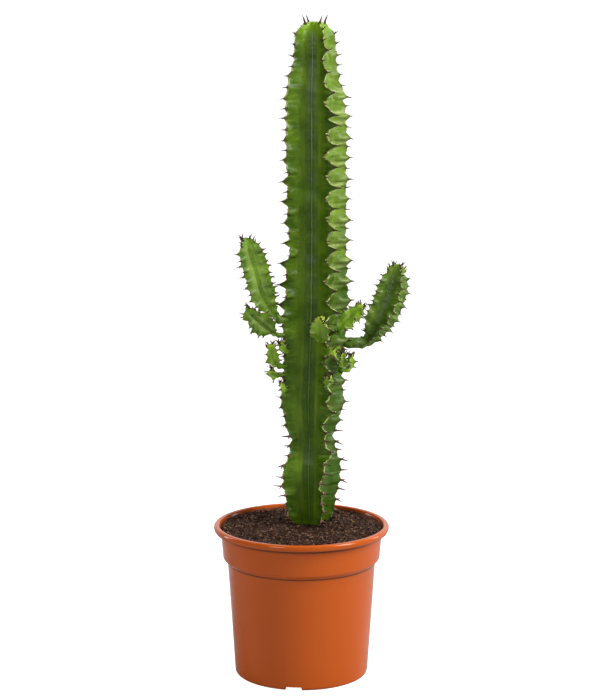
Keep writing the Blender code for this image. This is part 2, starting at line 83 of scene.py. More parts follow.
# The trunk: azimuths are in degrees from the front, positive towards +X
RIB_TURNS = {"A": -58, "B": 24, "C": 112, "D": 210}
TRUNK_WAY = ((12, 20, 163.5), (12, 20, 300), (15.5, 20, 400), (15.5, 20, 600), (14.3, 20, 703.6))
TRUNK_STEPS = 98
TOOTH_DEPTH = 3.1 * MM
TOOTH_SWING = {"A": 6, "B": 7.6, "C": 5, "D": 5}  # mm
TOOTH_JITTER = 0.9 * MM  # of a tooth up or down the rib
SWAP_Z = 608 * MM
ROOT_R = 14 * MM
GIRTH = (
    (163.5, 23, 21), (168, 28.5, 24.5), (174, 32, 26), (186, 34.5, 28), (196, 36, 31), (214, 40, 34.5),
    (228, 38, 34.5), (240, 32, 30), (256, 28, 25), (270, 34, 31), (290, 38.5, 38), (303, 42.5, 37.5),
    (316, 41, 37), (350, 40, 38), (414, 44, 40),
    (440, 41, 39), (470, 37, 38), (512, 39, 37), (572, 39, 38), (612, 39, 37), (630, 39, 34), (644, 36, 28),
    (655, 32, 27), (664, 28, 25), (683, 27.5, 25), (691, 26, 23.4), (696.5, 23.4, 20.4), (700, 20.4, 17),
    (702.4, 16.8, 14), (703.6, 12.6, 11),
)
# Up the trunk, in mm: height, then how strongly the teeth of ribs A and D, and of B and C, are swung and cut
WAVES = (
    (163.5, 0.25, 0.3), (245, 0.25, 0.3), (330, 0.25, 0.9), (385, 0.3, 1), (405, 1.3, 1), (460, 1.3, 1),
    (480, 0.9, 1), (560, 0.8, 1), (585, 0.35, 1), (626, 0.3, 1.1), (642, 0.3, 0.4), (703.6, 0.25, 0.35),
)
# The slow bend of rib B's margin: height and its sideways way, in mm
BEND = (
    (163.5, 0), (194, 0), (200, -3), (212, -6.5), (225, -4), (236, 3), (242, 8), (256, 6.5), (265, 2), (272, -4),
    (280, 2), (290, 4), (340, 0), (703.6, 0),
)

# The section of every stem
CHANNEL_FLOOR = {3: 0.36, 4: 0.43}
CHANNEL_HALF = {3: 0.17, 4: 0.22}
CHANNEL_LIP = 0.016
ROWS_PER_STEP = 5
CRUMPLE = 1.5 * MM
# For the faces AB, BC, CD and DA of the trunk: how fast the folds fade, and how far in mm the face puffs out
TRUNK_FOLDS = (2.2, 0.6, 0.9, 1.6)
TRUNK_PUFFS = (0.3, 2.6, 1, 0.6)

SPINE_LENGTH = 5.2 * MM
YOUNG_SPINE = 0.66
LONG_SPINES_Z = 265 * MM
STUB_REACH = 2.4 * MM
STUB_ROOT = 0.78
BLUNT_END = 0.6  # least width at the end of a side stem

SIDE_STEMS = {
    "arm_left": dict(
        rib="A", z=391, lean=0, neck=4.6, reach=17, ribs=3, turn=-75, pitch=6.6, depth=1.9, swing=2,
        taper=0.12, grow=(0.02, 0.42), skin="arm_left_skin",
        way=((4, 0, 3.5), (12, 0, 12), (20, 0, 24), (25.5, 0, 36), (32.5, 0, 59), (39, 0, 78), (41, 0, 85))),
    "arm_right": dict(
        rib="C", z=359, lean=0, neck=6.2, reach=20, ribs=4, turn=-80, pitch=6.8, depth=2, swing=2.2,
        taper=0.2, grow=(0.1, 0.5), skin="arm_right_skin",
        way=((8, -2, 0), (16, -3.5, 0.5), (23, -4.5, 5), (27.5, -5, 12.5), (33, -5, 22), (43.5, -5, 41),
             (50.5, -5, 62), (53.5, -5, 77))),
    "shoot_left_lobe": dict(
        rib="A", z=374, lean=0, neck=2.8, reach=16, ribs=3, turn=-85, pitch=8, depth=2.6, swing=2.4,
        taper=0.35, grow=(0.08, 0.55), skin="arm_left_skin", way=((6, 0, 2.5), (12, 0, 7), (24, 0, 17), (38, 0, 28))),
    "bud_left_upper": dict(
        rib="A", z=356.7, lean=42, neck=2.2, reach=6, ribs=3, turn=-20, pitch=5, depth=1.4, swing=1.2,
        taper=0.5, grow=(0, 0.4), way=((5, 0, 3), (8, 0, 10))),
    "shoot_left_blade": dict(
        rib="A", z=340, lean=0, neck=2.8, reach=9, ribs=3, turn=-85, pitch=7, depth=2, swing=1.8,
        taper=0.4, grow=(0, 0.4), way=((6, 0, 5), (10, 0, 13), (11, 0, 23))),
    "shoot_left_low": dict(
        rib="A", z=331, lean=0, neck=2.8, reach=8.5, ribs=3, turn=-100, pitch=7, depth=1.8, swing=1.6,
        taper=0.5, grow=(0, 0.4), way=((4, 1, 1), (9, 2, 3), (11.5, 2, 5))),
    "bud_left_low": dict(
        rib="A", z=314, lean=35, neck=2, reach=5, ribs=3, turn=-60, pitch=5, depth=1.2, swing=1,
        taper=0.5, grow=(0, 0.4), way=((2, 1, 4), (2.5, 1, 9))),
    "shoot_front": dict(
        rib="B", z=370.5, lean=-45, neck=3.2, reach=13.5, ribs=3, turn=-10, pitch=7, depth=2.4, swing=2.4,
        taper=0.35, grow=(0, 0.4), way=((5, -3.4, 6), (10, -6.5, 14), (12, -8.5, 24))),
    "shoot_front_crown": dict(
        rib="B", z=359, lean=0, neck=3.2, reach=13, ribs=4, turn=30, pitch=6, depth=2.2, swing=2,
        taper=0.6, grow=(0, 0.4), way=((4, 0, 0), (9, -1, 0))),
    "shoot_front_right": dict(
        rib="B", z=378.4, lean=50, neck=3.2, reach=11.5, ribs=3, turn=-85, pitch=7.5, depth=2.4, swing=2.2,
        taper=0.3, grow=(0, 0.4), way=((5, 3, 4), (8.5, 11, 13), (14, 22, 27))),
    "shoot_right_back": dict(
        rib="C", z=386.5, lean=0, neck=2.2, reach=6.5, ribs=3, turn=60, pitch=6, depth=1.6, swing=1.4,
        taper=0.4, grow=(0, 0.4), way=((5, 0, 0), (9, 0, 3), (11, 0, 11))),
    "bud_right_pale": dict(
        rib="C", z=336, lean=-78, neck=2.2, reach=6.5, ribs=3, turn=20, pitch=5, depth=1.4, swing=1.2,
        taper=0.5, grow=(0, 0.4), way=((-3, -5, 3), (-4, -6, 13))),
    "shoot_right_low": dict(
        rib="C", z=329, lean=0, neck=2.6, reach=6, ribs=3, turn=80, pitch=6, depth=1.6, swing=1.4,
        taper=0.4, grow=(0, 0.4), way=((3, 0, 3), (4, 0, 9), (4, 0, 15))),
    "bud_front_low": dict(
        rib="B", z=321, lean=-15, neck=2.4, reach=7, ribs=3, turn=30, pitch=5, depth=1.6, swing=1.4,
        taper=0.5, grow=(0, 0.4), way=((4, 0, 2), (6.5, 0, 6), (8, 0, 11))),
}


# Small helpers

def select_only(thing):
    bpy.ops.object.select_all(action="DESELECT")
    thing.select_set(True)
    bpy.context.view_layer.objects.active = thing


def copy_of(template, matrix):
    made = template.copy()
    made.data = template.data.copy()
    made.data.transform(matrix)
    bpy.context.scene.collection.objects.link(made)
    return made


def joined(thing, others):
    """One piece of several, each of which keeps its own material."""
    if others:
        bpy.ops.object.select_all(action="DESELECT")
        for other in others:
            other.select_set(True)
        thing.select_set(True)
        bpy.context.view_layer.objects.active = thing
        bpy.ops.object.join()
    return thing


def finished(piece, slot, *nodes):
    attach(piece, "root")
    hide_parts(*nodes)


def eased(x):
    x = np.clip(x, 0, 1)
    return x * x * (3 - 2 * x)


def facing(azimuth):
    return Vector((math.sin(azimuth), -math.cos(azimuth), 0))


def arc(centre, radius, start, end, count):
    angles = [math.radians(start + (end - start) * k / count) for k in range(count + 1)]
    return [(centre[0] + radius * math.cos(a), centre[1] + radius * math.sin(a)) for a in angles]


def turned(name, profile, sides, closed=True):
    """A ring added at the first point of an outline of (radius, height), then extruded and scaled through the rest."""
    radius, height = profile[0]
    bpy.ops.mesh.primitive_circle_add(vertices=sides, radius=radius, fill_type="NGON" if closed else "NOTHING",
                                      location=(0, 0, height))
    made = bpy.context.object
    made.name = name
    bpy.ops.object.transform_apply(location=True)
    bpy.ops.object.mode_set(mode="EDIT")
    bpy.ops.mesh.select_mode(type="EDGE")
    bpy.ops.mesh.select_all(action="SELECT")
    for r, z in profile[1:]:
        bpy.ops.mesh.extrude_edges_move(TRANSFORM_OT_translate={"value": (0, 0, z - height)})
        bpy.ops.transform.resize(value=(r / radius, r / radius, 1), center_override=(0, 0, z))
        radius, height = r, z
    if closed:
        bpy.ops.mesh.edge_face_add()
    bpy.ops.mesh.select_all(action="SELECT")
    bpy.ops.mesh.normals_make_consistent(inside=False)
    bpy.ops.object.mode_set(mode="OBJECT")
    return made


def rolled(name, grid, masks):
    """A flat grid whose points are moved to the rows and columns given, rolled up and closed along its seam. Each
    mask is kept as an attribute for the material."""
    rows, columns = grid.shape[:2]
    bpy.ops.mesh.primitive_grid_add(x_subdivisions=columns, y_subdivisions=rows - 1, size=1)
    made = bpy.context.object
    made.name = name
    wrapped = np.concatenate([grid, grid[:, :1]], axis=1)
    made.data.vertices.foreach_set("co", wrapped.astype(np.float32).ravel())
    for mask, values in masks.items():
        layer = made.data.attributes.new(mask, "FLOAT", "POINT")
        values = np.broadcast_to(values, (rows, columns))
        values = np.concatenate([values, values[:, :1]], axis=1)
        layer.data.foreach_set("value", values.astype(np.float32).ravel())
    bpy.ops.object.mode_set(mode="EDIT")
    bpy.ops.mesh.select_all(action="SELECT")
    bpy.ops.mesh.remove_doubles(threshold=0.004 * MM)
    bpy.ops.mesh.normals_make_consistent(inside=False)
    bpy.ops.object.mode_set(mode="OBJECT")
    bpy.ops.object.shade_smooth()
    return made


# Materials

def new_material(name, **sockets):
    made = bpy.data.materials.new(name)
    made.use_nodes = True
    shader = made.node_tree.nodes["Principled BSDF"]
    for socket, value in sockets.items():
        shader.inputs[socket.replace("_", " ")].default_value = value
    return made, made.node_tree, shader


def add(tree, kind, inputs=(), **settings):
    node = tree.nodes.new("ShaderNode" + kind)
    for key, value in settings.items():
        setattr(node, key, value)
    for key, value in dict(inputs).items():
        if isinstance(value, bpy.types.NodeSocket):
            tree.links.new(value, node.inputs[key])
        else:
            node.inputs[key].default_value = value
    return node


def mixed(tree, share, first, second, blend="MIX"):
    """Output of a colour mix of two colours or sockets."""
    return add(tree, "Mix", {0: share, 6: first, 7: second}, data_type="RGBA", blend_type=blend).outputs[2]


def ramp(tree, value, *stops):
    """Output of a colour ramp through (place, colour or grey) stops."""
    node = add(tree, "ValToRGB", {0: value})
    band = node.color_ramp
    while len(band.elements) < len(stops):
        band.elements.new(0.5)
    for element, (place, colour) in zip(band.elements, stops):
        element.position = place
        element.color = (*colour, 1) if isinstance(colour, tuple) else (colour, colour, colour, 1)
    return node.outputs[0]


def maths(tree, operation, *values, clamp=False):
    return add(tree, "Math", enumerate(values), operation=operation, use_clamp=clamp).outputs[0]


def noisy(tree, scale, detail=3, roughness=0.5, stretch=(1, 1, 1), offset=0):
    """Output of a noise on Object coordinates, its size set in noises per metre."""
    place = add(tree, "TexCoord").outputs["Object"]
    moved = add(tree, "Mapping", {"Vector": place, "Scale": stretch, "Location": (offset, offset, offset)})
    return add(tree, "TexNoise", {"Vector": moved.outputs[0], "Scale": scale, "Detail": detail,
                                  "Roughness": roughness}).outputs[0]


def new_group(name, inputs, outputs):
    """An empty node group with its input and output nodes."""
    tree = bpy.data.node_groups.new(name, "ShaderNodeTree")
    for direction, sockets in (("INPUT", inputs), ("OUTPUT", outputs)):
        for label, kind in sockets.items():
            tree.interface.new_socket(label, in_out=direction, socket_type="NodeSocket" + kind)
    return tree, tree.nodes.new("NodeGroupInput").outputs, tree.nodes.new("NodeGroupOutput").inputs


def skin_group():
    """Waxy skin: mottled faces, a pale line with painted shade either side along each channel's floor, a painted
    highlight along its ridges, painted highlights on the swellings and creases, painted light and shade on the face
    that looks to the light, a pale margin with brown teeth.
    """
    tree, given, out = new_group("succulent_skin", {
        "Deep": "Color", "Face": "Color", "Pale": "Color", "Young": "Color", "Wax_and_sheen": "Color",
        "Lines": "Float", "Swellings": "Float",
    }, {"Color": "Color", "Roughness": "Float", "Height": "Float"})
    lane, bulge, tip, age, crease, sun = (add(tree, "Attribute", attribute_name=mask).outputs["Fac"]
                                          for mask in ("lane", "bulge", "tip", "age", "crease", "sun"))
    broad = noisy(tree, 48, 3, 0.55)
    fine = noisy(tree, 420, 4, 0.6)
    streaks = noisy(tree, 240, 3, 0.5, stretch=(1, 1, 0.1))
    veins = noisy(tree, 210, 3, 0.6, stretch=(0.22, 0.22, 1))
    wing = ramp(tree, lane, (0.5, 0.0), (0.62, 1.0))
    colour = mixed(tree, ramp(tree, broad, (0.36, 0.0), (0.66, 1.0)), given["Deep"], given["Face"])
    colour = mixed(tree, ramp(tree, age, (0.0, 0.6), (0.45, 0.25), (0.7, 0.0)), colour, given["Deep"])
    # Fine transverse veins on the wings and a grain all over
    vein = maths(tree, "MULTIPLY", ramp(tree, veins, (0.52, 0.0), (0.72, 0.42)), wing)
    colour = mixed(tree, vein, colour, given["Pale"])
    colour = mixed(tree, ramp(tree, fine, (0.52, 0.0), (0.78, 0.22)), colour, given["Pale"])
    # The channel: a thin pale line along its floor with painted shade either side of it, and a painted highlight along
    # the soft ridge at each side
    wobble = maths(tree, "MULTIPLY_ADD", streaks, 0.05, lane)
    ridge_highlight = ramp(tree, wobble, (0.28, 0.0), (0.43, 1.0), (0.48, 1.0), (0.78, 0.0))
    middle = ramp(tree, wobble, (0.025, 1.0), (0.045, 0.0))
    # seam: the painted shade either side of the pale middle line
    seam = ramp(tree, wobble, (0.045, 0.0), (0.06, 1.0), (0.085, 1.0), (0.14, 0.0))
    colour = mixed(tree, maths(tree, "MULTIPLY", seam, 0.45), colour, (0.012, 0.03, 0.004, 1))
    patchy = ramp(tree, noisy(tree, 30, 2, 0.5), (0.35, 0.3), (0.6, 1.0))
    ridge_highlight = maths(tree, "MULTIPLY", maths(tree, "MULTIPLY", ridge_highlight, patchy), given["Lines"])
    colour = mixed(tree, maths(tree, "MULTIPLY", ridge_highlight, ramp(tree, streaks, (0.3, 0.5), (0.6, 1.0))), colour, given["Pale"])
    # Painted light and shade: the face that looks to the light is painted paler high up and darker low down
    colour = mixed(tree, maths(tree, "MULTIPLY", sun, ramp(tree, age, (0.5, 0.0), (0.62, 0.28))), colour, given["Pale"])
    low = ramp(tree, age, (0.0, 0.85), (0.4, 0.65), (0.55, 0.0))
    colour = mixed(tree, maths(tree, "MULTIPLY", sun, low), colour, given["Deep"])
    middle = maths(tree, "MULTIPLY", middle, ramp(tree, age, (0.3, 0.35), (0.75, 0.8)))
    colour = mixed(tree, maths(tree, "MULTIPLY", middle, ramp(tree, streaks, (0.3, 0.4), (0.6, 1.0))), colour, given["Wax_and_sheen"])
    # Painted highlight: each wing is painted paler where it swells towards this side, near its margin, and where its
    # face dents in, in the pale wax colour
    swell_highlight = maths(tree, "MULTIPLY", ramp(tree, bulge, (0.56, 0.0), (0.9, 1.0)), ramp(tree, lane, (0.3, 0.0), (0.8, 1.0)))
    swell_highlight = maths(tree, "MULTIPLY", swell_highlight, given["Swellings"])
    fold_highlight = maths(tree, "MULTIPLY", ramp(tree, crease, (0.3, 0.0), (0.85, 0.75)), ramp(tree, lane, (0.0, 0.45), (0.5, 1.0)))
    fold_highlight = maths(tree, "MULTIPLY", fold_highlight, ramp(tree, age, (0.4, 0.3), (0.55, 1.0)))
    swell_highlight = maths(tree, "MAXIMUM", swell_highlight, fold_highlight)
    swell_highlight = maths(tree, "MULTIPLY", swell_highlight, ramp(tree, noisy(tree, 130, 3, 0.6), (0.35, 0.35), (0.6, 1.0)))
    colour = mixed(tree, swell_highlight, colour, given["Wax_and_sheen"])
    colour = mixed(tree, ramp(tree, age, (0.974, 0.0), (0.994, 0.9)), colour, given["Young"])
    # The margin: a whitish line, broad and crumpled on young growth, brown at the teeth
    broader = maths(tree, "MULTIPLY", ramp(tree, age, (0.6, 0.0), (0.9, 1.0)), ramp(tree, broad, (0.4, 0.2), (0.6, 1.0)))
    place = maths(tree, "MULTIPLY_ADD", fine, 0.014, lane)
    place = maths(tree, "MULTIPLY_ADD", broader, 0.035, place)
    edge = ramp(tree, place, (0.974, 0.0), (0.99, 1.0))
    worn = mixed(tree, ramp(tree, fine, (0.4, 0.0), (0.62, 1.0)), given["Wax_and_sheen"], (0.6, 0.48, 0.3, 1))
    worn = mixed(tree, ramp(tree, noisy(tree, 160, 2, 0.5), (0.5, 0.0), (0.6, 0.9)), worn, (0.13, 0.05, 0.028, 1))
    colour = mixed(tree, maths(tree, "MULTIPLY", edge, 0.85), colour, worn)
    brown = maths(tree, "MULTIPLY", ramp(tree, lane, (0.86, 0.0), (0.96, 1.0)), ramp(tree, tip, (0.4, 0.0), (0.8, 1.0)))
    colour = mixed(tree, maths(tree, "MULTIPLY", brown, 0.85), colour, (0.05, 0.02, 0.012, 1))
    tree.links.new(colour, out["Color"])
    tree.links.new(maths(tree, "MULTIPLY_ADD", edge, 0.2, ramp(tree, fine, (0.3, 0.3), (0.8, 0.46))), out["Roughness"])
    height = maths(tree, "ADD", maths(tree, "MULTIPLY", broad, 0.6), maths(tree, "MULTIPLY", fine, 0.22))
    height = maths(tree, "ADD", height, maths(tree, "MULTIPLY", maths(tree, "MULTIPLY", veins, wing), 0.55))
    tree.links.new(maths(tree, "ADD", height, maths(tree, "MULTIPLY", streaks, 0.2)), out["Height"])
    return tree


def skin(name, group, deep, face, pale, young, wax_and_sheen, lines, swellings):
    made, tree, shader = new_material(name, IOR=1.42, Specular_IOR_Level=0.27)
    node = tree.nodes.new("ShaderNodeGroup")
    node.node_tree = group
    for label, value in dict(Deep=deep, Face=face, Pale=pale, Young=young, Wax_and_sheen=wax_and_sheen).items():
        node.inputs[label].default_value = (*value, 1)
    node.inputs["Lines"].default_value = lines
    node.inputs["Swellings"].default_value = swellings
    tree.links.new(node.outputs["Color"], shader.inputs["Base Color"])
    tree.links.new(node.outputs["Roughness"], shader.inputs["Roughness"])
    bump = add(tree, "Bump", {"Height": node.outputs["Height"], "Strength": 0.5, "Distance": 1.4 * MM})
    tree.links.new(bump.outputs[0], shader.inputs["Normal"])
    return made


def horn_material():
    """Dark brown spines, paler and pinkish at the root low down the stem."""
    made, tree, shader = new_material("horn", IOR=1.45, Specular_IOR_Level=0.2, Roughness=0.5)
    along = add(tree, "Attribute", attribute_name="lane").outputs["Fac"]
    height = add(tree, "SeparateXYZ", {0: add(tree, "TexCoord").outputs["Object"]}).outputs["Z"]
    low = ramp(tree, maths(tree, "DIVIDE", height, 0.72), (0.27, 1.0), (0.4, 0.0))
    grain = noisy(tree, 900, 2)
    dark = mixed(tree, grain, (0.014, 0.005, 0.002, 1), (0.045, 0.016, 0.007, 1))
    pale = mixed(tree, grain, (0.16, 0.075, 0.05, 1), (0.3, 0.17, 0.13, 1))
    root = maths(tree, "MULTIPLY", ramp(tree, along, (0.1, 1.0), (0.75, 0.0)),
                 maths(tree, "MULTIPLY_ADD", low, 0.7, 0.18))
    tree.links.new(mixed(tree, root, dark, pale), shader.inputs["Base Color"])
    return made


def bud_material():
    made, tree, shader = new_material("bud", Roughness=0.6)
    grain = noisy(tree, 1300, 2)
    tree.links.new(mixed(tree, grain, (0.5, 0.42, 0.3, 1), (0.85, 0.8, 0.66, 1)), shader.inputs["Base Color"])
    return made


def pot_material():
    """Glossy moulded plastic with a little flow in its colour, fine scratches and dust, with painted shade in its
    corners under the lip and collar and on the inner wall above the soil.
    """
    made, tree, shader = new_material("pot_plastic", IOR=1.5, Specular_IOR_Level=0.36)
    flow = noisy(tree, 9, 3, 0.55, stretch=(1, 1, 0.35))
    speck = noisy(tree, 700, 3, 0.6)
    colour = mixed(tree, flow, (0.47, 0.076, 0.001, 1), (0.54, 0.092, 0.003, 1))
    dust = ramp(tree, speck, (0.66, 0.0), (0.78, 0.12))
    colour = mixed(tree, dust, colour, (0.72, 0.4, 0.25, 1))
    # Painted shade: a dark line in the corners under the lip and under the collar, and dark patches on the inner wall
    # above the soil
    place = add(tree, "SeparateXYZ", {0: add(tree, "TexCoord").outputs["Object"]}).outputs
    height = maths(tree, "DIVIDE", place["Z"], RIM_Z)
    under_lip, step = (RIM_Z - LIP_DEPTH) / RIM_Z, STEP_Z / RIM_Z
    crease_shade = ramp(tree, height, (step - 0.008, 0.0), (step - 0.003, 1.0), (step + 0.004, 1.0), (step + 0.008, 0.0),
                 (under_lip - 0.024, 0.0), (under_lip - 0.015, 1.0), (under_lip + 0.002, 1.0), (under_lip + 0.004, 0.0))
    radius = maths(tree, "SQRT", maths(tree, "ADD", maths(tree, "MULTIPLY", place["X"], place["X"]),
                                      maths(tree, "MULTIPLY", place["Y"], place["Y"])))
    inside = ramp(tree, maths(tree, "DIVIDE", radius, MOUTH_R), (0.999, 1.0), (1.004, 0.0))
    above = ramp(tree, height, (0.962, 0.0), (0.968, 1.0), (0.99, 1.0), (0.998, 0.35))
    inner_wall_shade = maths(tree, "MULTIPLY", maths(tree, "MULTIPLY", inside, above), ramp(tree, noisy(tree, 90, 4, 0.6),
                                                                              (0.3, 0.7), (0.55, 1.0)))
    painted_shade = maths(tree, "MAXIMUM", maths(tree, "MULTIPLY", crease_shade, 0.75), maths(tree, "MULTIPLY", inner_wall_shade, 0.92))
    tree.links.new(mixed(tree, painted_shade, colour, (0.05, 0.014, 0.005, 1)), shader.inputs["Base Color"])
    scratch = noisy(tree, 120, 5, 0.7, stretch=(1, 1, 3))
    gloss = ramp(tree, scratch, (0.3, 0.1), (0.75, 0.2))
    # The painted shade is also rougher, which dulls the reflections in those corners
    tree.links.new(maths(tree, "MAXIMUM", gloss, maths(tree, "MULTIPLY", painted_shade, 0.8)), shader.inputs["Roughness"])
    bump = add(tree, "Bump", {"Height": noisy(tree, 60, 2), "Strength": 0.05, "Distance": 1 * MM})
    tree.links.new(bump.outputs[0], shader.inputs["Normal"])
    return made


def soil_material():
    """Peat with reddish, tan and greenish specks."""
    made, tree, shader = new_material("peat", Roughness=0.93, Specular_IOR_Level=0.25)
    place = add(tree, "TexCoord").outputs["Object"]
    cells = add(tree, "TexVoronoi", {"Vector": place, "Scale": 620, "Randomness": 1}).outputs["Color"]
    pick = add(tree, "SeparateColor", {0: cells}).outputs[0]
    colour = ramp(tree, pick, (0.0, (0.006, 0.002, 0.001)), (0.35, (0.024, 0.007, 0.004)),
                  (0.6, (0.075, 0.019, 0.009)), (0.8, (0.12, 0.05, 0.022)), (0.9, (0.04, 0.036, 0.012)),
                  (0.96, (0.42, 0.24, 0.14)))
    shade = noisy(tree, 130, 4, 0.6)
    colour = mixed(tree, ramp(tree, shade, (0.35, 0.0), (0.7, 0.8)), colour, (0.016, 0.005, 0.003, 1))
    tree.links.new(colour, shader.inputs["Base Color"])
    bump = add(tree, "Bump", {"Height": noisy(tree, 500, 5, 0.7), "Strength": 0.9, "Distance": 1.5 * MM})
    tree.links.new(bump.outputs[0], shader.inputs["Normal"])
    return made


# The pot

def make_pot():
    lip_low = RIM_Z - LIP_DEPTH
    floor_top = RECESS + WALL
    outside = [(PAD_R - 1 * MM, 0), (PAD_R, 0.3 * MM), (PAD_R + 1 * MM, RECESS), (FOOT_IN_R, RECESS),
               (FOOT_IN_R + 1 * MM, 0.5 * MM), (FOOT_IN_R + 1.5 * MM, 0)]
    outside += arc((BASE_R - BASE_ROUND, BASE_ROUND), BASE_ROUND, -90, 0, 8)
    slope = (BODY_TOP_R - BASE_R) / (STEP_Z - BASE_ROUND)
    outside += [(BASE_R + slope * (z * MM - BASE_ROUND), z * MM) for z in range(10, 120, 10)]
    outside += [(BODY_TOP_R, STEP_Z - 1 * MM), (BODY_TOP_R + 0.4 * MM, STEP_Z)]
    outside += arc((COLLAR_FOOT_R - 3 * MM, COLLAR_FOOT_Z), 3 * MM, -60, 0, 6)
    outside += [(COLLAR_TOP_R - 1.2 * MM, lip_low - 12 * MM), (COLLAR_TOP_R, lip_low - 0.6 * MM)]
    outside += [(COLLAR_TOP_R + 0.5 * MM, lip_low - 0.2 * MM), (RIM_R - 2.4 * MM, lip_low - 0.3 * MM),
                (RIM_R - 1.3 * MM, lip_low), (RIM_R - 0.7 * MM, lip_low + 1 * MM)]
    outside += arc((RIM_R - 3 * MM, RIM_Z - 3 * MM), 3 * MM, -8, 90, 9)
    mouth = [(MOUTH_R + 1 * MM, RIM_Z - 0.3 * MM), (MOUTH_R + 0.3 * MM, RIM_Z - 0.9 * MM), (MOUTH_R, RIM_Z - 3 * MM)]
    inside = [(COLLAR_TOP_R - WALL, lip_low - 2 * MM), (COLLAR_FOOT_R - WALL, COLLAR_FOOT_Z),
              (BODY_TOP_R - WALL, STEP_Z - 1 * MM), (BASE_R + slope * 5 * MM - WALL, floor_top + 3 * MM),
              (BASE_R - WALL - 3 * MM, floor_top), (DRAIN_RING_R, floor_top), (PAD_R, floor_top)]
    pot = turned("orange_pot", outside + mouth + inside, POT_SIDES)
    cutters = [foot_notch(math.radians(FIRST_NOTCH + 360 * k / NOTCHES)) for k in range(NOTCHES)]
    cutters += [drain_hole(math.radians(FIRST_NOTCH + 360 * (k + 0.5) / DRAIN_HOLES)) for k in range(DRAIN_HOLES)]
    cutter = joined(cutters[0], cutters[1:])
    select_only(pot)
    cut = pot.modifiers.new("cut", "BOOLEAN")
    cut.operation = "DIFFERENCE"
    cut.object = cutter
    cut.solver = "EXACT"
    bpy.ops.object.modifier_apply(modifier=cut.name)
    bpy.data.objects.remove(cutter, do_unlink=True)
    bpy.ops.object.shade_smooth_by_angle(angle=math.radians(32))
    pot.data.materials.clear()
    pot.data.materials.append(pot_material())
    finished(pot, "pot", "pot")


def foot_notch(azimuth):
    """A rounded block through the foot ring, from the recess to outside the wall."""
    start, end = FOOT_IN_R - 5 * MM, BASE_R + 8 * MM
    low = -6 * MM
    bpy.ops.mesh.primitive_cube_add(size=1)
    block = bpy.context.object
    block.data.transform(Matrix.Diagonal((NOTCH_WIDTH, end - start, NOTCH_HEIGHT - low, 1)))
    bevel = block.modifiers.new("corners", "BEVEL")
    bevel.width = 1.2 * MM
    bevel.segments = 3
    bpy.ops.object.modifier_apply(modifier=bevel.name)
    middle = facing(azimuth) * (start + end) / 2 + Vector((0, 0, (NOTCH_HEIGHT + low) / 2))
    block.data.transform(Matrix.Translation(middle) @ Matrix.Rotation(azimuth, 4, "Z"))
    return block


def drain_hole(azimuth):
    hole = turned("hole", [(DRAIN_R, -10 * MM), (DRAIN_R, 12 * MM)], 24)
    hole.data.transform(Matrix.Translation(facing(azimuth) * DRAIN_RING_R))
    return hole


# The soil

def soil_height(x, y):
    """Height of the soil's surface: a low rise to the middle, loosely raked."""
    r = math.hypot(x, y)
    rise = eased(1 - (r - SOIL_CROWN_R) / (84 * MM - SOIL_CROWN_R))
    height = SOIL_EDGE_Z + SOIL_HEAP + (SOIL_CROWN_Z - 0.6 * MM - SOIL_EDGE_Z - SOIL_HEAP) * rise
    for size, depth in ((14, 1.3), (5, 0.8), (2.2, 0.55)):
        height += depth * MM * noise.noise(Vector((x, y, 0.3)) / (size * MM))
    return height


def make_soil(draw):
    inner = WALL + 0.3 * MM
    slope = (BODY_TOP_R - BASE_R) / (STEP_Z - BASE_ROUND)
    floor_top = RECESS + WALL + 0.3 * MM
    edge_r = COLLAR_TOP_R - inner - 0.2 * MM
    profile = [(10 * MM, floor_top), (BASE_R - inner - 3.2 * MM, floor_top),
               (BASE_R + slope * 5 * MM - inner, floor_top + 3 * MM), (BODY_TOP_R - inner, STEP_Z - 1 * MM),
               (COLLAR_FOOT_R - inner, COLLAR_FOOT_Z), (edge_r, SOIL_EDGE_Z - 3 * MM)]
    rings = 52
    profile += [((edge_r - 0.3 * MM) * (1 - k / rings) ** 0.9 + 0.4 * MM, SOIL_EDGE_Z) for k in range(rings)]
    soil = turned("potting_soil", profile, SOIL_SIDES)
    for v in soil.data.vertices:
        if v.co.z > SOIL_EDGE_Z - 1 * MM:
            v.co.z = soil_height(v.co.x, v.co.y)
    crumbs = crumb_shapes(draw)
    loose = []
    for k in range(CRUMBS):
        turn, r = draw.uniform(0, math.tau), 84.5 * MM * math.sqrt(draw.random())
        size = (0.55 + 1.5 * draw.random() ** 3) * MM
        x, y = r * math.cos(turn), r * math.sin(turn)
        place = Vector((x, y, soil_height(x, y) + size * draw.uniform(-0.1, 0.5)))
        spin = Matrix.Rotation(draw.uniform(0, math.tau), 4, (draw.random(), draw.random(), draw.random()))
        shape = Matrix.Diagonal((size * draw.uniform(0.8, 1.9), size, size * draw.uniform(0.5, 1), 1))
        loose.append(copy_of(crumbs[k % len(crumbs)], Matrix.Translation(place) @ spin @ shape))
    for k in range(FIBRES):
        turn, r = draw.uniform(0, math.tau), 80 * MM * math.sqrt(draw.random())
        x, y = r * math.cos(turn), r * math.sin(turn)
        lying = Matrix.Rotation(draw.uniform(0, math.tau), 4, "Z") @ Matrix.Rotation(math.radians(86), 4, "X")
        fibre = copy_of(crumbs[-1], lying @ Matrix.Diagonal((0.18 * MM, 0.18 * MM, draw.uniform(5, 13) * MM, 1)))
        for v in fibre.data.vertices:
            v.co += noise.noise_vector(Vector((x, y, k)) + v.co / (6 * MM)) * 1.2 * MM
            v.co += Vector((x, y, 0))
            reach = min(1, 85 * MM / max(math.hypot(v.co.x, v.co.y), 1e-6))
            v.co.x, v.co.y = v.co.x * reach, v.co.y * reach
            v.co.z = soil_height(v.co.x, v.co.y) + 0.5 * MM + abs(v.co.z) * 0.3
        loose.append(fibre)
    for shape in crumbs:
        bpy.data.objects.remove(shape, do_unlink=True)
    joined(soil, loose)
    bpy.ops.object.shade_smooth_by_angle(angle=math.radians(40))
    soil.data.materials.clear()
    soil.data.materials.append(soil_material())
    finished(soil, "soil", "soil")


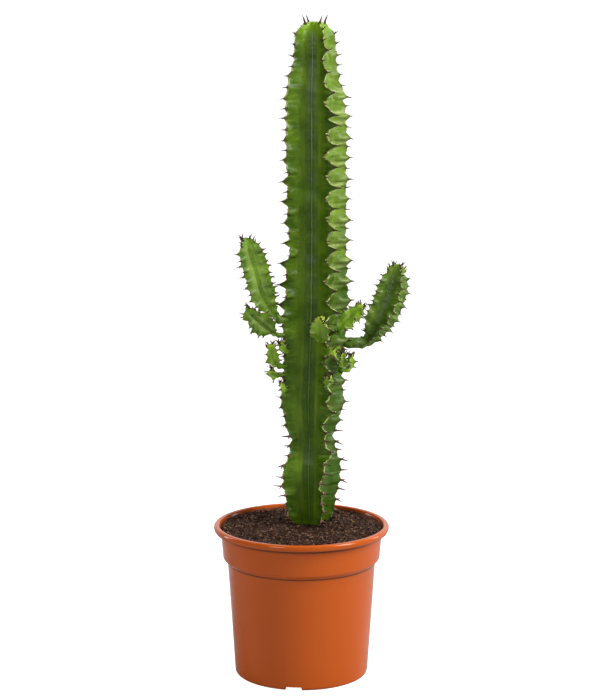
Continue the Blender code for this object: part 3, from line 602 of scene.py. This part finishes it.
def crumb_shapes(draw):
    """Five broken lumps of peat, about 1 across, and a straight fibre, 1 long."""
    shapes = []
    for k in range(5):
        bpy.ops.mesh.primitive_ico_sphere_add(subdivisions=2 if k == 0 else 1, radius=1)
        lump = bpy.context.object
        for v in lump.data.vertices:
            v.co *= 1 + 0.5 * noise.noise(v.co * 1.3 + Vector((k * 3.1, 0, 0))) + draw.uniform(-0.12, 0.12)
        shapes.append(lump)
    shapes.append(turned("fibre", [(1, -0.5), (1, -0.25), (0.9, 0), (0.8, 0.25), (0.6, 0.5)], 5))
    return shapes


# The plant

def girth(z):
    """Reach of the left and right ribs of the trunk at a height."""
    for (z0, *low), (z1, *high) in zip(GIRTH, GIRTH[1:]):
        if z / MM <= z1:
            share = max(z / MM - z0, 0) / (z1 - z0)
            return [(a + (b - a) * share) * MM for a, b in zip(low, high)]
    return [r * MM for r in GIRTH[-1][1:]]


def rib_reach(rib, z):
    left, right = girth(z)
    return left if rib in "AD" else right


def waviness(rib, z):
    heights, *strengths = zip(*WAVES)
    return float(np.interp(z / MM, heights, strengths[0 if rib in "AD" else 1]))


def trunk_axis(z):
    for low, high in zip(TRUNK_WAY, TRUNK_WAY[1:]):
        if z / MM <= high[2]:
            break
    share = max(z / MM - low[2], 0) / (high[2] - low[2])
    return Vector([a + (b - a) * share for a, b in zip(low[:2], high[:2])] + [z / MM]) * MM


def curve_points(way, count):
    """The way as a smooth curve through its points, at even steps of length."""
    dense = []
    for k in range(len(way) - 1):
        before, here, there = way[max(k - 1, 0)], way[k], way[k + 1]
        after = way[min(k + 2, len(way) - 1)]
        span = (there - here).length / 3
        near = here + (there - before).normalized() * span
        far = there - (after - here).normalized() * span
        dense += interpolate_bezier(here, near, far, there, 24)[: 24 if k == len(way) - 2 else 23]
    lengths = [0.0]
    for start, end in zip(dense, dense[1:]):
        lengths.append(lengths[-1] + (end - start).length)
    found, k = [], 0
    for step in range(count):
        target = lengths[-1] * step / (count - 1)
        while k < len(dense) - 2 and lengths[k + 1] < target:
            k += 1
        share = (target - lengths[k]) / max(lengths[k + 1] - lengths[k], 1e-9)
        found.append(dense[k].lerp(dense[k + 1], min(share, 1)))
    return found, lengths[-1]


def frames_along(points, first, front):
    """(point, forward, sideways, along) at each point, with the forward direction carried on without twist."""
    frames = []
    for k, point in enumerate(points):
        if k == 0:
            along = first.normalized()
        else:
            along = (points[min(k + 1, len(points) - 1)] - points[k - 1]).normalized()
        front = (front - along * front.dot(along)).normalized()
        frames.append((point, front, along.cross(front), along))
    return frames


def trunk_rings(draw):
    """The trunk's rings, two for each tooth: reach, fall of the notches and swing of the teeth of each rib."""
    top, foot = TRUNK_WAY[-1][2] * MM, TRUNK_WAY[0][2] * MM
    rings = dict(reach=[], fall=[], swing=[], side=[], round=[], form=[], height=[], z=[])
    for i in range(TRUNK_STEPS + 1):
        grown = eased(i / 5) * eased((TRUNK_STEPS - i) / 5)
        z = foot + (top - foot) * i / TRUNK_STEPS + TOOTH_JITTER * math.sin(2.3 * i) * grown
        row = dict(reach=[], fall=[], swing=[], side=[])
        for j, rib in enumerate(RIB_TURNS):
            is_tip = (i + j) % 2 == 0
            vary = draw.uniform(0.5, 1.5)
            wave = waviness(rib, z) * grown
            side = 1 if (i // 2 + j + (rib == "B" and z < SWAP_Z)) % 2 else -1
            bend = float(np.interp(z / MM, *zip(*BEND))) * MM if rib == "B" else 0
            row["reach"].append(rib_reach(rib, z))
            row["fall"].append(0 if is_tip else TOOTH_DEPTH * vary * (0.45 * grown + 0.55 * wave))
            row["swing"].append(bend + (side * TOOTH_SWING[rib] * MM * draw.uniform(0.7, 1.1) * wave if is_tip else 0))
            row["side"].append(side if is_tip or i == TRUNK_STEPS else 0)
        for key, values in row.items():
            rings[key].append(values)
        rings["round"].append(ROOT_R)
        rings["form"].append(eased((i + 1.6) / 2.6))
        rings["height"].append(i / TRUNK_STEPS)
        rings["z"].append(z)
    return {key: np.array(values, float) for key, values in rings.items()}


def side_way(side):
    """(points along a side stem, its length, where it leaves the rib, its first direction)."""
    z = side["z"] * MM
    turn, lean = math.radians(RIB_TURNS[side["rib"]]), math.radians(side["lean"])
    out, across, up = facing(turn), facing(turn + math.pi / 2), Vector((0, 0, 1))
    direction = (out * math.cos(lean) + across * math.sin(lean)).normalized()
    reach = rib_reach(side["rib"], z)
    root = trunk_axis(z) + out * reach * STUB_ROOT
    seat = root + direction * (reach * (1 - STUB_ROOT) + STUB_REACH)
    start = seat + direction * 0.3 * MM
    way = [start, start + direction * 1.5 * MM]
    way += [seat + (out * o + across * r + up * u) * MM for o, r, u in side["way"]]
    return way, root, direction


def side_rings(side, draw, length):
    steps = 2 * max(2, round(length / (side["pitch"] * MM)))
    reach, neck = side["reach"] * MM, side["neck"] * MM
    rings = dict(reach=[], fall=[], swing=[], side=[], round=[], form=[], height=[], z=[])
    for i in range(steps + 1):
        share = i / steps
        end = max(0, (share - 1 + side["taper"]) / side["taper"])
        begin, whole = side["grow"]
        full = neck * 1.1 + (reach - neck * 1.1) * eased((share - begin) / (whole - begin))
        full *= max(BLUNT_END, math.sqrt(max(0, 1 - (0.93 * end) ** 2)))
        form = eased(share / (0.12 + 0.8 * begin))
        row = dict(reach=[], fall=[], swing=[], side=[])
        for j in range(side["ribs"]):
            is_tip = (i + j) % 2 == 0
            fall = 0 if is_tip else side["depth"] * MM * draw.uniform(0.7, 1.3) * form
            turned_to = 1 if (i // 2 + j) % 2 else -1
            row["reach"].append(full)
            row["fall"].append(fall * (0.4 if i == steps else 1))
            row["swing"].append(turned_to * side["swing"] * MM * form if is_tip else 0)
            row["side"].append(turned_to if is_tip and share > 0.2 or i == steps else 0)
        for key, values in row.items():
            rings[key].append(values)
        rings["round"].append(neck)
        rings["form"].append(form)
        rings["height"].append(share)
        rings["z"].append(share * length)
    return {key: np.array(values, float) for key, values in rings.items()}


def rows_between(rings):
    """The rows between the rings. A crest is round at each tooth and notched between two teeth."""
    count = len(rings["form"])
    at = np.linspace(0, count - 1, (count - 1) * ROWS_PER_STEP + 1)
    i = np.minimum(at.astype(int), count - 2)
    f = (at - i)[:, None]
    ribs = rings["fall"].shape[1]
    from_tip = (i[:, None] + np.arange(ribs)) % 2 == 0
    notched = np.where(from_tip, f ** 1.35, 1 - (1 - f) ** 1.35)
    rows = {key: rings[key][i] + (rings[key][i + 1] - rings[key][i]) * eased(f) for key in ("reach", "swing")}
    rows["fall"] = rings["fall"][i] + (rings["fall"][i + 1] - rings["fall"][i]) * notched
    rows["tip"] = np.where(from_tip, 1 - f, f) ** 1.5
    for key in ("round", "form", "height", "z"):
        rows[key] = rings[key][i] + (rings[key][i + 1] - rings[key][i]) * f[:, 0]
    # Small crumples of the margins between the teeth
    for j in range(ribs):
        between = (1 - rows["tip"][:, j]) * rows["form"] * CRUMPLE
        rows["swing"][:, j] += between * [noise.noise(Vector((k * 0.37, j * 5.3, 0.5))) for k in at * ROWS_PER_STEP]
        rows["fall"][:, j] += between * [abs(noise.noise(Vector((k * 0.45, j * 5.3, 7.5)))) for k in at * ROWS_PER_STEP]
    kernel = np.hanning(2 * ROWS_PER_STEP + 3)
    for j in range(ribs):
        padded = np.pad(rows["reach"][:, j], ROWS_PER_STEP + 1, mode="edge")
        rows["reach"][:, j] = np.convolve(padded, kernel / kernel.sum(), mode="valid")
    return rows


def flowing(controls, first, last, columns):
    """A smooth curve through control points of shape (rows, points, 2), read at places counted in points."""
    steps = np.linalg.norm(controls[:, 1:] - controls[:, :-1], axis=2, keepdims=True) + 1e-7
    slopes = (controls[:, 1:] - controls[:, :-1]) / steps
    inner = (slopes[:, :-1] * steps[:, 1:] + slopes[:, 1:] * steps[:, :-1]) / (steps[:, :-1] + steps[:, 1:])
    tangents = np.concatenate([np.broadcast_to(first, inner[:, :1].shape), inner,
                               np.broadcast_to(last, inner[:, :1].shape)], axis=1)
    k = np.minimum(columns.astype(int), controls.shape[1] - 2)
    f = (columns - k)[None, :, None]
    d = steps[:, k]
    return ((2 * f ** 3 - 3 * f ** 2 + 1) * controls[:, k] + (f ** 3 - 2 * f ** 2 + f) * d * tangents[:, k]
            + (3 * f ** 2 - 2 * f ** 3) * controls[:, k + 1] + (f ** 3 - f ** 2) * d * tangents[:, k + 1])


# From the crest of a rib to the middle of the channel: share of the way to the channel's lip, half thickness added
# there in mm on a rib of 40 mm, and the lane that the materials read
WING = ((0, 0, 1), (0.012, 0.75, 0.985), (0.06, 0.75, 0.95), (0.2, 0.45, 0.85), (0.42, 0.5, 0.72), (0.7, 0.45, 0.56))
CHANNEL = ((1, 1, 0.4), (0.62, 0.3, 0.2), (0, 0, 0))  # share of the half width, of the lip's height, lane
LANES = [lane for _, _, lane in WING + CHANNEL]
COLUMNS = np.array([0, 0.5, 1, 1.5, 2, 2.6, 3.2, 3.8, 4.4, 5, 5.5, 6, 6.5, 7, 7.5])


def section(rows, turns, folds, puffs):
    """Points round a ribbed stem at each row, as (forward, sideways), with the lane and bulge of each. For each face:
    how fast the folds of its margins fade, and how far it puffs out between them."""
    ribs = len(turns)
    reach, swing = rows["reach"], rows["swing"]
    crest = reach - rows["fall"]
    sunk = np.pad(rows["fall"].mean(axis=1) / reach.mean(axis=1), 12, mode="edge")
    sunk = np.convolve(sunk, np.hanning(27)[1:-1] / np.hanning(27).sum(), mode="valid")
    greatest = np.abs(swing).max() + 1e-9
    found, lanes, bulges, tips, creases, suns = [], [], [], [], [], []
    directions = [np.array([math.cos(math.radians(t)), math.sin(math.radians(t))]) for t in turns]
    for j in range(ribs):
        n = (j + 1) % ribs
        middle = math.radians((turns[j] + turns[n] + (360 if n == 0 else 0)) / 2)
        floor, across = np.array([math.cos(middle), math.sin(middle)]), np.array([-math.sin(middle), math.cos(middle)])
        span = ((reach[:, j] + reach[:, n]) / 2 * (1 - sunk))[:, None]
        inward = ((swing[:, j] - 0.3 * swing[:, n]) / greatest)[:, None]
        puff = -inward * puffs[j] * MM * floor
        halves = []
        for k, side in ((j, 1), (n, -1)):
            out = directions[k]
            along = np.array([-out[1], out[0]])
            scale = np.clip(reach[:, k] / (40 * MM), 0.22, 1)[:, None]
            lip = span * (floor * (CHANNEL_FLOOR[ribs] + CHANNEL_LIP) - across * side * CHANNEL_HALF[ribs])
            tip = crest[:, k, None] * out
            points = []
            for share, thick, _ in WING:
                bend = swing[:, k, None] * (1 - share) ** folds[j]
                points.append(tip + (lip - tip) * share + along * (bend + side * thick * MM * scale)
                              + puff * min(share / 0.7, 1))
            for half, height, _ in CHANNEL:
                points.append(span * (floor * (CHANNEL_FLOOR[ribs] + CHANNEL_LIP * height)
                                      - across * side * CHANNEL_HALF[ribs] * half) + puff)
            halves.append(flowing(np.stack(points, axis=1), along * side, across * side, COLUMNS))
        found += [halves[0], (span * floor * CHANNEL_FLOOR[ribs] + puff)[:, None], halves[1][:, :0:-1]]
        lane = np.interp(COLUMNS, range(len(LANES)), LANES)
        lanes += [lane, [0], lane[:0:-1]]
        # bulge and crease mark where the skin paints highlights: where the margin swings towards this side, and where
        # the face dents in
        inward = np.clip(inward * puffs[j] / 2, 0, 1)
        for k, side, part in ((j, 1, slice(None)), (j, 1, slice(0, 1)), (n, -1, slice(1, None))):
            width = len(COLUMNS[part])
            shown = side * swing[:, k, None] / greatest * min(1, 0.2 + 0.35 * puffs[j])
            bulges.append(np.repeat(0.5 + 0.5 * shown, width, axis=1))
            tips.append(np.repeat(rows["tip"][:, k, None], width, axis=1))
            creases.append(np.repeat(inward, width, axis=1))
            # sun: how strongly this face gets the painted light high up and the painted shade low down
            suns.append(np.full(width, min(1, puffs[j] / 2.6) ** 2))
    return np.concatenate(found, axis=1), dict(
        lane=np.concatenate(lanes)[None], bulge=np.concatenate(bulges, axis=1), tip=np.concatenate(tips, axis=1),
        crease=np.concatenate(creases, axis=1), sun=np.concatenate(suns)[None])


def stem_surface(name, rows, frames, turns, lead, dome, folds, puffs):
    """A stem's skin over its rows, with a plain round lead-in at its foot and a rounded end."""
    flat, masks = section(rows, turns, folds, puffs)
    form = rows["form"][:, None, None]
    flat_round = flat / np.linalg.norm(flat, axis=2, keepdims=True) * rows["round"][:, None, None]
    flat = flat_round + (flat - flat_round) * form
    centre, forward, sideways, along = (np.array([f[k] for f in frames]) for k in range(4))
    grid = centre[:, None] + forward[:, None] * flat[..., :1] + sideways[:, None] * flat[..., 1:]
    # The lead-in: rings set back along the stem, each with its radius as a share of the first row
    first = grid[0] - centre[0]
    start = [np.broadcast_to(np.array(place), first.shape) + first * share for place, share in lead]
    last = grid[-1] - centre[-1]
    end = [centre[-1] + along[-1] * dome * math.sin(a) + last * math.cos(a) for a in np.linspace(0, math.pi / 2, 7)[1:]]
    grid = np.concatenate([np.array(start), grid, np.array(end)])
    extra = [(len(start), len(end)), (0, 0)]
    fade = rows["form"][:, None]
    masks["bulge"] = np.pad(0.5 + (masks["bulge"] - 0.5) * fade, extra, constant_values=0.5)
    masks["tip"] = np.pad(masks["tip"], extra)
    masks["crease"] = np.pad(masks["crease"] * fade, extra)
    masks["age"] = np.pad(rows["height"], extra[0], mode="edge")[:, None]
    masks["lane"] = 0.3 + (masks["lane"] - 0.3) * np.pad(fade, extra, constant_values=((0, 1), (0, 0)))
    inner = np.ones((len(grid), 1, 1))
    inner[[0, -1]] = 0
    crumpled = eased((masks["age"][..., None] - 0.9) / 0.1) * 0.7 + 0.05
    grid = grid + rough_at(grid, 9 * MM) * 0.3 * MM * inner + rough_at(grid, 2.6 * MM) * MM * crumpled * inner
    return rolled(name, grid, masks)


def rough_at(grid, size):
    """A smooth random way for each point of a grid."""
    return np.array([noise.noise_vector(Vector(p) / size) for p in grid.reshape(-1, 3)]).reshape(grid.shape)


def spine_template():
    """A slender spine, 1 long and a little bent, on its own small swollen foot."""
    outline = [(0.17, -0.12), (0.165, 0.02), (0.12, 0.1), (0.095, 0.35), (0.065, 0.65), (0.015, 1)]
    spine = turned("spine", outline, 6)
    layer = spine.data.attributes.new("lane", "FLOAT", "POINT")
    layer.data.foreach_set("value", [max(v.co.z, 0) for v in spine.data.vertices])
    for v in spine.data.vertices:
        v.co.x += 0.16 * max(v.co.z, 0) ** 2
    select_only(spine)
    bpy.ops.object.shade_smooth()
    spine.data.materials.append(MATERIALS["horn"])
    return spine


def pad_template(name, size):
    """A flattened lump, for the horny pad under a pair of spines or the bud above it."""
    bpy.ops.mesh.primitive_ico_sphere_add(subdivisions=2, radius=1)
    pad = bpy.context.object
    for v in pad.data.vertices:
        v.co *= 1 + 0.25 * noise.noise(v.co * 1.7)
        v.co = Vector(a * b for a, b in zip(v.co, size))
    bpy.ops.object.shade_smooth()
    pad.data.materials.append(MATERIALS[name])
    return pad


def pointing(place, direction, bow, size):
    """A matrix that stands a template along a direction at a place, its +X side towards the bow."""
    z = direction.normalized()
    x = (bow - z * bow.dot(z)).normalized()
    return Matrix.Translation(place) @ Matrix((x, z.cross(x), z)).transposed().to_4x4() @ Matrix.Scale(size, 4)


def armed(stem, rings, frames, turns, draw, templates, length, dome=0):
    """Puts a horny pad, a pair of spines and a bud on each tooth of a stem, a prickle between two teeth, and horns
    on its end. A domed end has a tuft of spines."""
    spine, pad, bud = templates
    parts = []
    count = len(rings["form"])
    for i in range(count):
        centre, forward, sideways, up = frames[i * ROWS_PER_STEP]
        for j, turn in enumerate(turns):
            side = rings["side"][i][j]
            a = math.radians(turn)
            out = forward * math.cos(a) + sideways * math.sin(a)
            across = up.cross(out)
            place = centre + out * (rings["reach"][i][j] - rings["fall"][i][j]) + across * rings["swing"][i][j]
            if place.z < SOIL_CROWN_Z + 4 * MM or rings["form"][i] < 0.6:
                continue
            if side == 0:
                direction = out + across * draw.uniform(-0.8, 0.8) + up * draw.uniform(-0.7, 0.7)
                parts.append(copy_of(spine, pointing(place - out * 0.4 * MM, direction, up, length * draw.uniform(0.25, 0.5))))
                continue
            last = i == count - 1
            if last and dome:
                for climb, size in ((0.5, 1.2), (1.0, 1.5)):
                    root = place + up * (dome * math.sin(climb)) - out * (rings["reach"][i][j] * (1 - math.cos(climb)))
                    for turned_to in (-1, 1):
                        direction = up + out * draw.uniform(0.2, 0.7) + across * turned_to * draw.uniform(0.3, 0.9)
                        parts.append(copy_of(spine, pointing(root, direction, out, length * size)))
            near_end = eased((rings["height"][i] - 0.9) / 0.1)
            facing_tooth = (out + across * side * 0.35).normalized()
            scale = length / SPINE_LENGTH * (1.3 if dome else 1)
            parts.append(copy_of(pad, pointing(place - out * 0.15 * MM, facing_tooth, up, scale * draw.uniform(0.8, 1.1))))
            for turned_to in (-1, 1):
                if last:
                    direction = up * 1.6 + out * 0.5 + across * turned_to * 0.2
                    size = length * ((1.2 if dome else 1.9) if turned_to == 1 else 0.7)
                    bow = out
                else:
                    rise = -0.15 + 1.3 * near_end + draw.uniform(-0.25, 0.25)
                    direction = out + across * (turned_to * 0.75 + side * 0.2) + up * rise
                    size = length * draw.uniform(0.75, 1.15) * (1.7 if place.z < LONG_SPINES_Z else 1)
                    bow = up * draw.uniform(-1, 1) + across
                parts.append(copy_of(spine, pointing(place + across * turned_to * 0.4 * MM * scale, direction,
                                                     bow, size)))
            if not last and draw.random() < 0.6:
                parts.append(copy_of(bud, pointing(place + up * 1.5 * MM * scale + out * 0.1 * MM, facing_tooth, up, scale)))
    return joined(stem, parts)


def make_plant(draw):
    teeth = random.Random(SEED)
    group = skin_group()
    for name, args in SKINS.items():
        MATERIALS[name] = skin(name, group, *args)
    MATERIALS["horn"] = horn_material()
    MATERIALS["bud"] = bud_material()
    templates = (spine_template(), pad_template("horn", (0.9 * MM, 1.5 * MM, 0.6 * MM)),
                 pad_template("bud", (0.5 * MM, 0.5 * MM, 0.4 * MM)))

    rings = trunk_rings(teeth)
    uneven = [[1 + 0.65 * noise.noise(Vector((i * 0.61, j * 4.7, 2.5))) for j in range(4)] for i in range(TRUNK_STEPS + 1)]
    rings["swing"] *= uneven
    rows = rows_between(rings)
    foot = TRUNK_WAY[0][2] * MM
    forward, sideways, up = Vector((0, -1, 0)), Vector((1, 0, 0)), Vector((0, 0, 1))
    frames = [(trunk_axis(z), forward, sideways, up) for z in rows["z"]]
    axis = trunk_axis(foot)
    lead = [(axis - up * depth * MM, share) for depth, share in ((24, 0), (24, 0.55), (12, 0.8), (4, 0.9), (1, 0.97))]
    turns = list(RIB_TURNS.values())
    trunk = stem_surface("main_stem", rows, frames, turns, lead, 1.6 * MM, TRUNK_FOLDS, TRUNK_PUFFS)
    trunk.data.materials.append(MATERIALS["trunk_skin"])
    armed(trunk, rings, frames, turns, draw, templates, SPINE_LENGTH)
    finished(trunk, "trunk", "trunk")

    for name, side in SIDE_STEMS.items():
        way, root, direction = side_way(side)
        _, length = curve_points(way, 8)
        rings = side_rings(side, teeth, length)
        rows = rows_between(rings)
        points, _ = curve_points(way, len(rows["form"]))
        front = up if abs(direction.dot(forward)) > 0.7 else forward
        frames = frames_along(points, direction, front)
        turns = [side["turn"] + 360 * j / side["ribs"] for j in range(side["ribs"])]
        back = points[0] - root
        lead = [(points[0] - back * share, size) for share, size in ((0.9, 0), (0.85, 0.4), (0.5, 0.72), (0.2, 0.95))]
        dome = 0.6 * rings["reach"][-1][0]
        stem = stem_surface(name + "_stem", rows, frames, turns, lead, dome, (1,) * side["ribs"], (0.4,) * side["ribs"])
        arm = name.startswith("arm")
        stem.data.materials.append(MATERIALS[side.get("skin", "shoot_skin")])
        armed(stem, rings, frames, turns, draw, templates, SPINE_LENGTH * (0.8 if arm else YOUNG_SPINE), dome)
        finished(stem, "arms" if arm else "shoots", name)
    for template in templates:
        bpy.data.objects.remove(template, do_unlink=True)


# The studio

SKY_LIGHT = 0.12  # of the room in front; the backdrop behind is white


def panel(name, place, target, size, power, colour=(1, 1, 1)):
    light = bpy.data.lights.new(name, "AREA")
    light.shape = "RECTANGLE"
    light.size, light.size_y = size
    light.energy = power
    light.color = colour
    made = bpy.data.objects.new(name, light)
    bpy.context.scene.collection.objects.link(made)
    made.location = place
    made.rotation_euler = (Vector(target) - Vector(place)).to_track_quat("-Z", "Y").to_euler()
    return made


def make_studio():
    scene = bpy.context.scene
    scene.view_settings.view_transform = "Standard"
    world = bpy.data.worlds.new("studio")
    scene.world = world
    world.use_nodes = True
    tree = world.node_tree
    sky = tree.nodes["Background"]
    sky.inputs["Color"].default_value = (1, 1, 1, 1)
    seen = add(tree, "LightPath").outputs["Is Camera Ray"]
    away = add(tree, "SeparateXYZ", {0: add(tree, "TexCoord").outputs["Generated"]}).outputs["Y"]
    backdrop = ramp(tree, away, (0.0, SKY_LIGHT), (0.2, SKY_LIGHT), (0.75, 1.0))
    tree.links.new(maths(tree, "MAXIMUM", seen, backdrop), sky.inputs["Strength"])
    bpy.ops.mesh.primitive_plane_add(size=60)
    floor = bpy.context.object
    floor.name = "floor"
    made, tree, shader = new_material("floor_white", Roughness=0.9, Base_Color=(0.42, 0.42, 0.42, 1),
                                      Emission_Color=(1, 1, 1, 1))
    seen = add(tree, "LightPath").outputs["Is Camera Ray"]
    tree.links.new(seen, shader.inputs["Emission Strength"])
    floor.data.materials.append(made)
    panel("key", (1.8, -0.8, 1.6), (0, 0, 0.45), (0.7, 1.6), 66)
    panel("fill", (-1.4, -2.2, 1.3), (0, 0, 0.35), (0.8, 1.6), 25)
    panel("top", (0.2, 0.3, 2.4), (0, 0, 0.3), (1.4, 1.4), 12)
    panel("left_edge", (-1.3, 0.5, 0.5), (0, 0, 0.3), (0.25, 1.3), 5)
    panel("right_edge", (1.3, 0.5, 0.5), (0, 0, 0.3), (0.25, 1.3), 5)
    camera = bpy.data.cameras.new("camera")
    camera.lens = 117.08
    camera.sensor_width = 36
    camera.sensor_fit = "AUTO"
    camera.clip_end = 200
    made = bpy.data.objects.new("camera", camera)
    scene.collection.objects.link(made)
    made.location = (-0.00156, -2.4, 0.791)
    made.rotation_euler = (math.radians(90 - 10.24), 0, 0)
    scene.camera = made


# Deep and light face, pale veins and painted highlights, young tip, wax colour that also paints the highlights on the
# swellings and creases; strength of the painted highlight along the channel ridges and of the painted highlight on the
# swellings
SKINS = {
    "trunk_skin": ((0.036, 0.09, 0.002), (0.088, 0.18, 0.004), (0.23, 0.35, 0.03), (0.2, 0.37, 0.006),
                   (0.45, 0.56, 0.17), 0.5, 0.85),
    "arm_left_skin": ((0.05, 0.12, 0.003), (0.14, 0.26, 0.01), (0.42, 0.54, 0.16), (0.14, 0.26, 0.02),
                      (0.4, 0.52, 0.18), 0.4, 0.4),
    "arm_right_skin": ((0.045, 0.1, 0.004), (0.11, 0.2, 0.012), (0.36, 0.46, 0.14), (0.14, 0.22, 0.02),
                       (0.36, 0.45, 0.16), 0.1, 0.4),
    "shoot_skin": ((0.1, 0.22, 0.003), (0.26, 0.46, 0.012), (0.52, 0.64, 0.2), (0.36, 0.5, 0.04),
                   (0.6, 0.68, 0.32), 0.2, 0.7),
}
MATERIALS = {}


def main():
    draw = random.Random(DETAIL_SEED)
    make_studio()
    make_pot()
    make_soil(draw)
    make_plant(draw)


main()
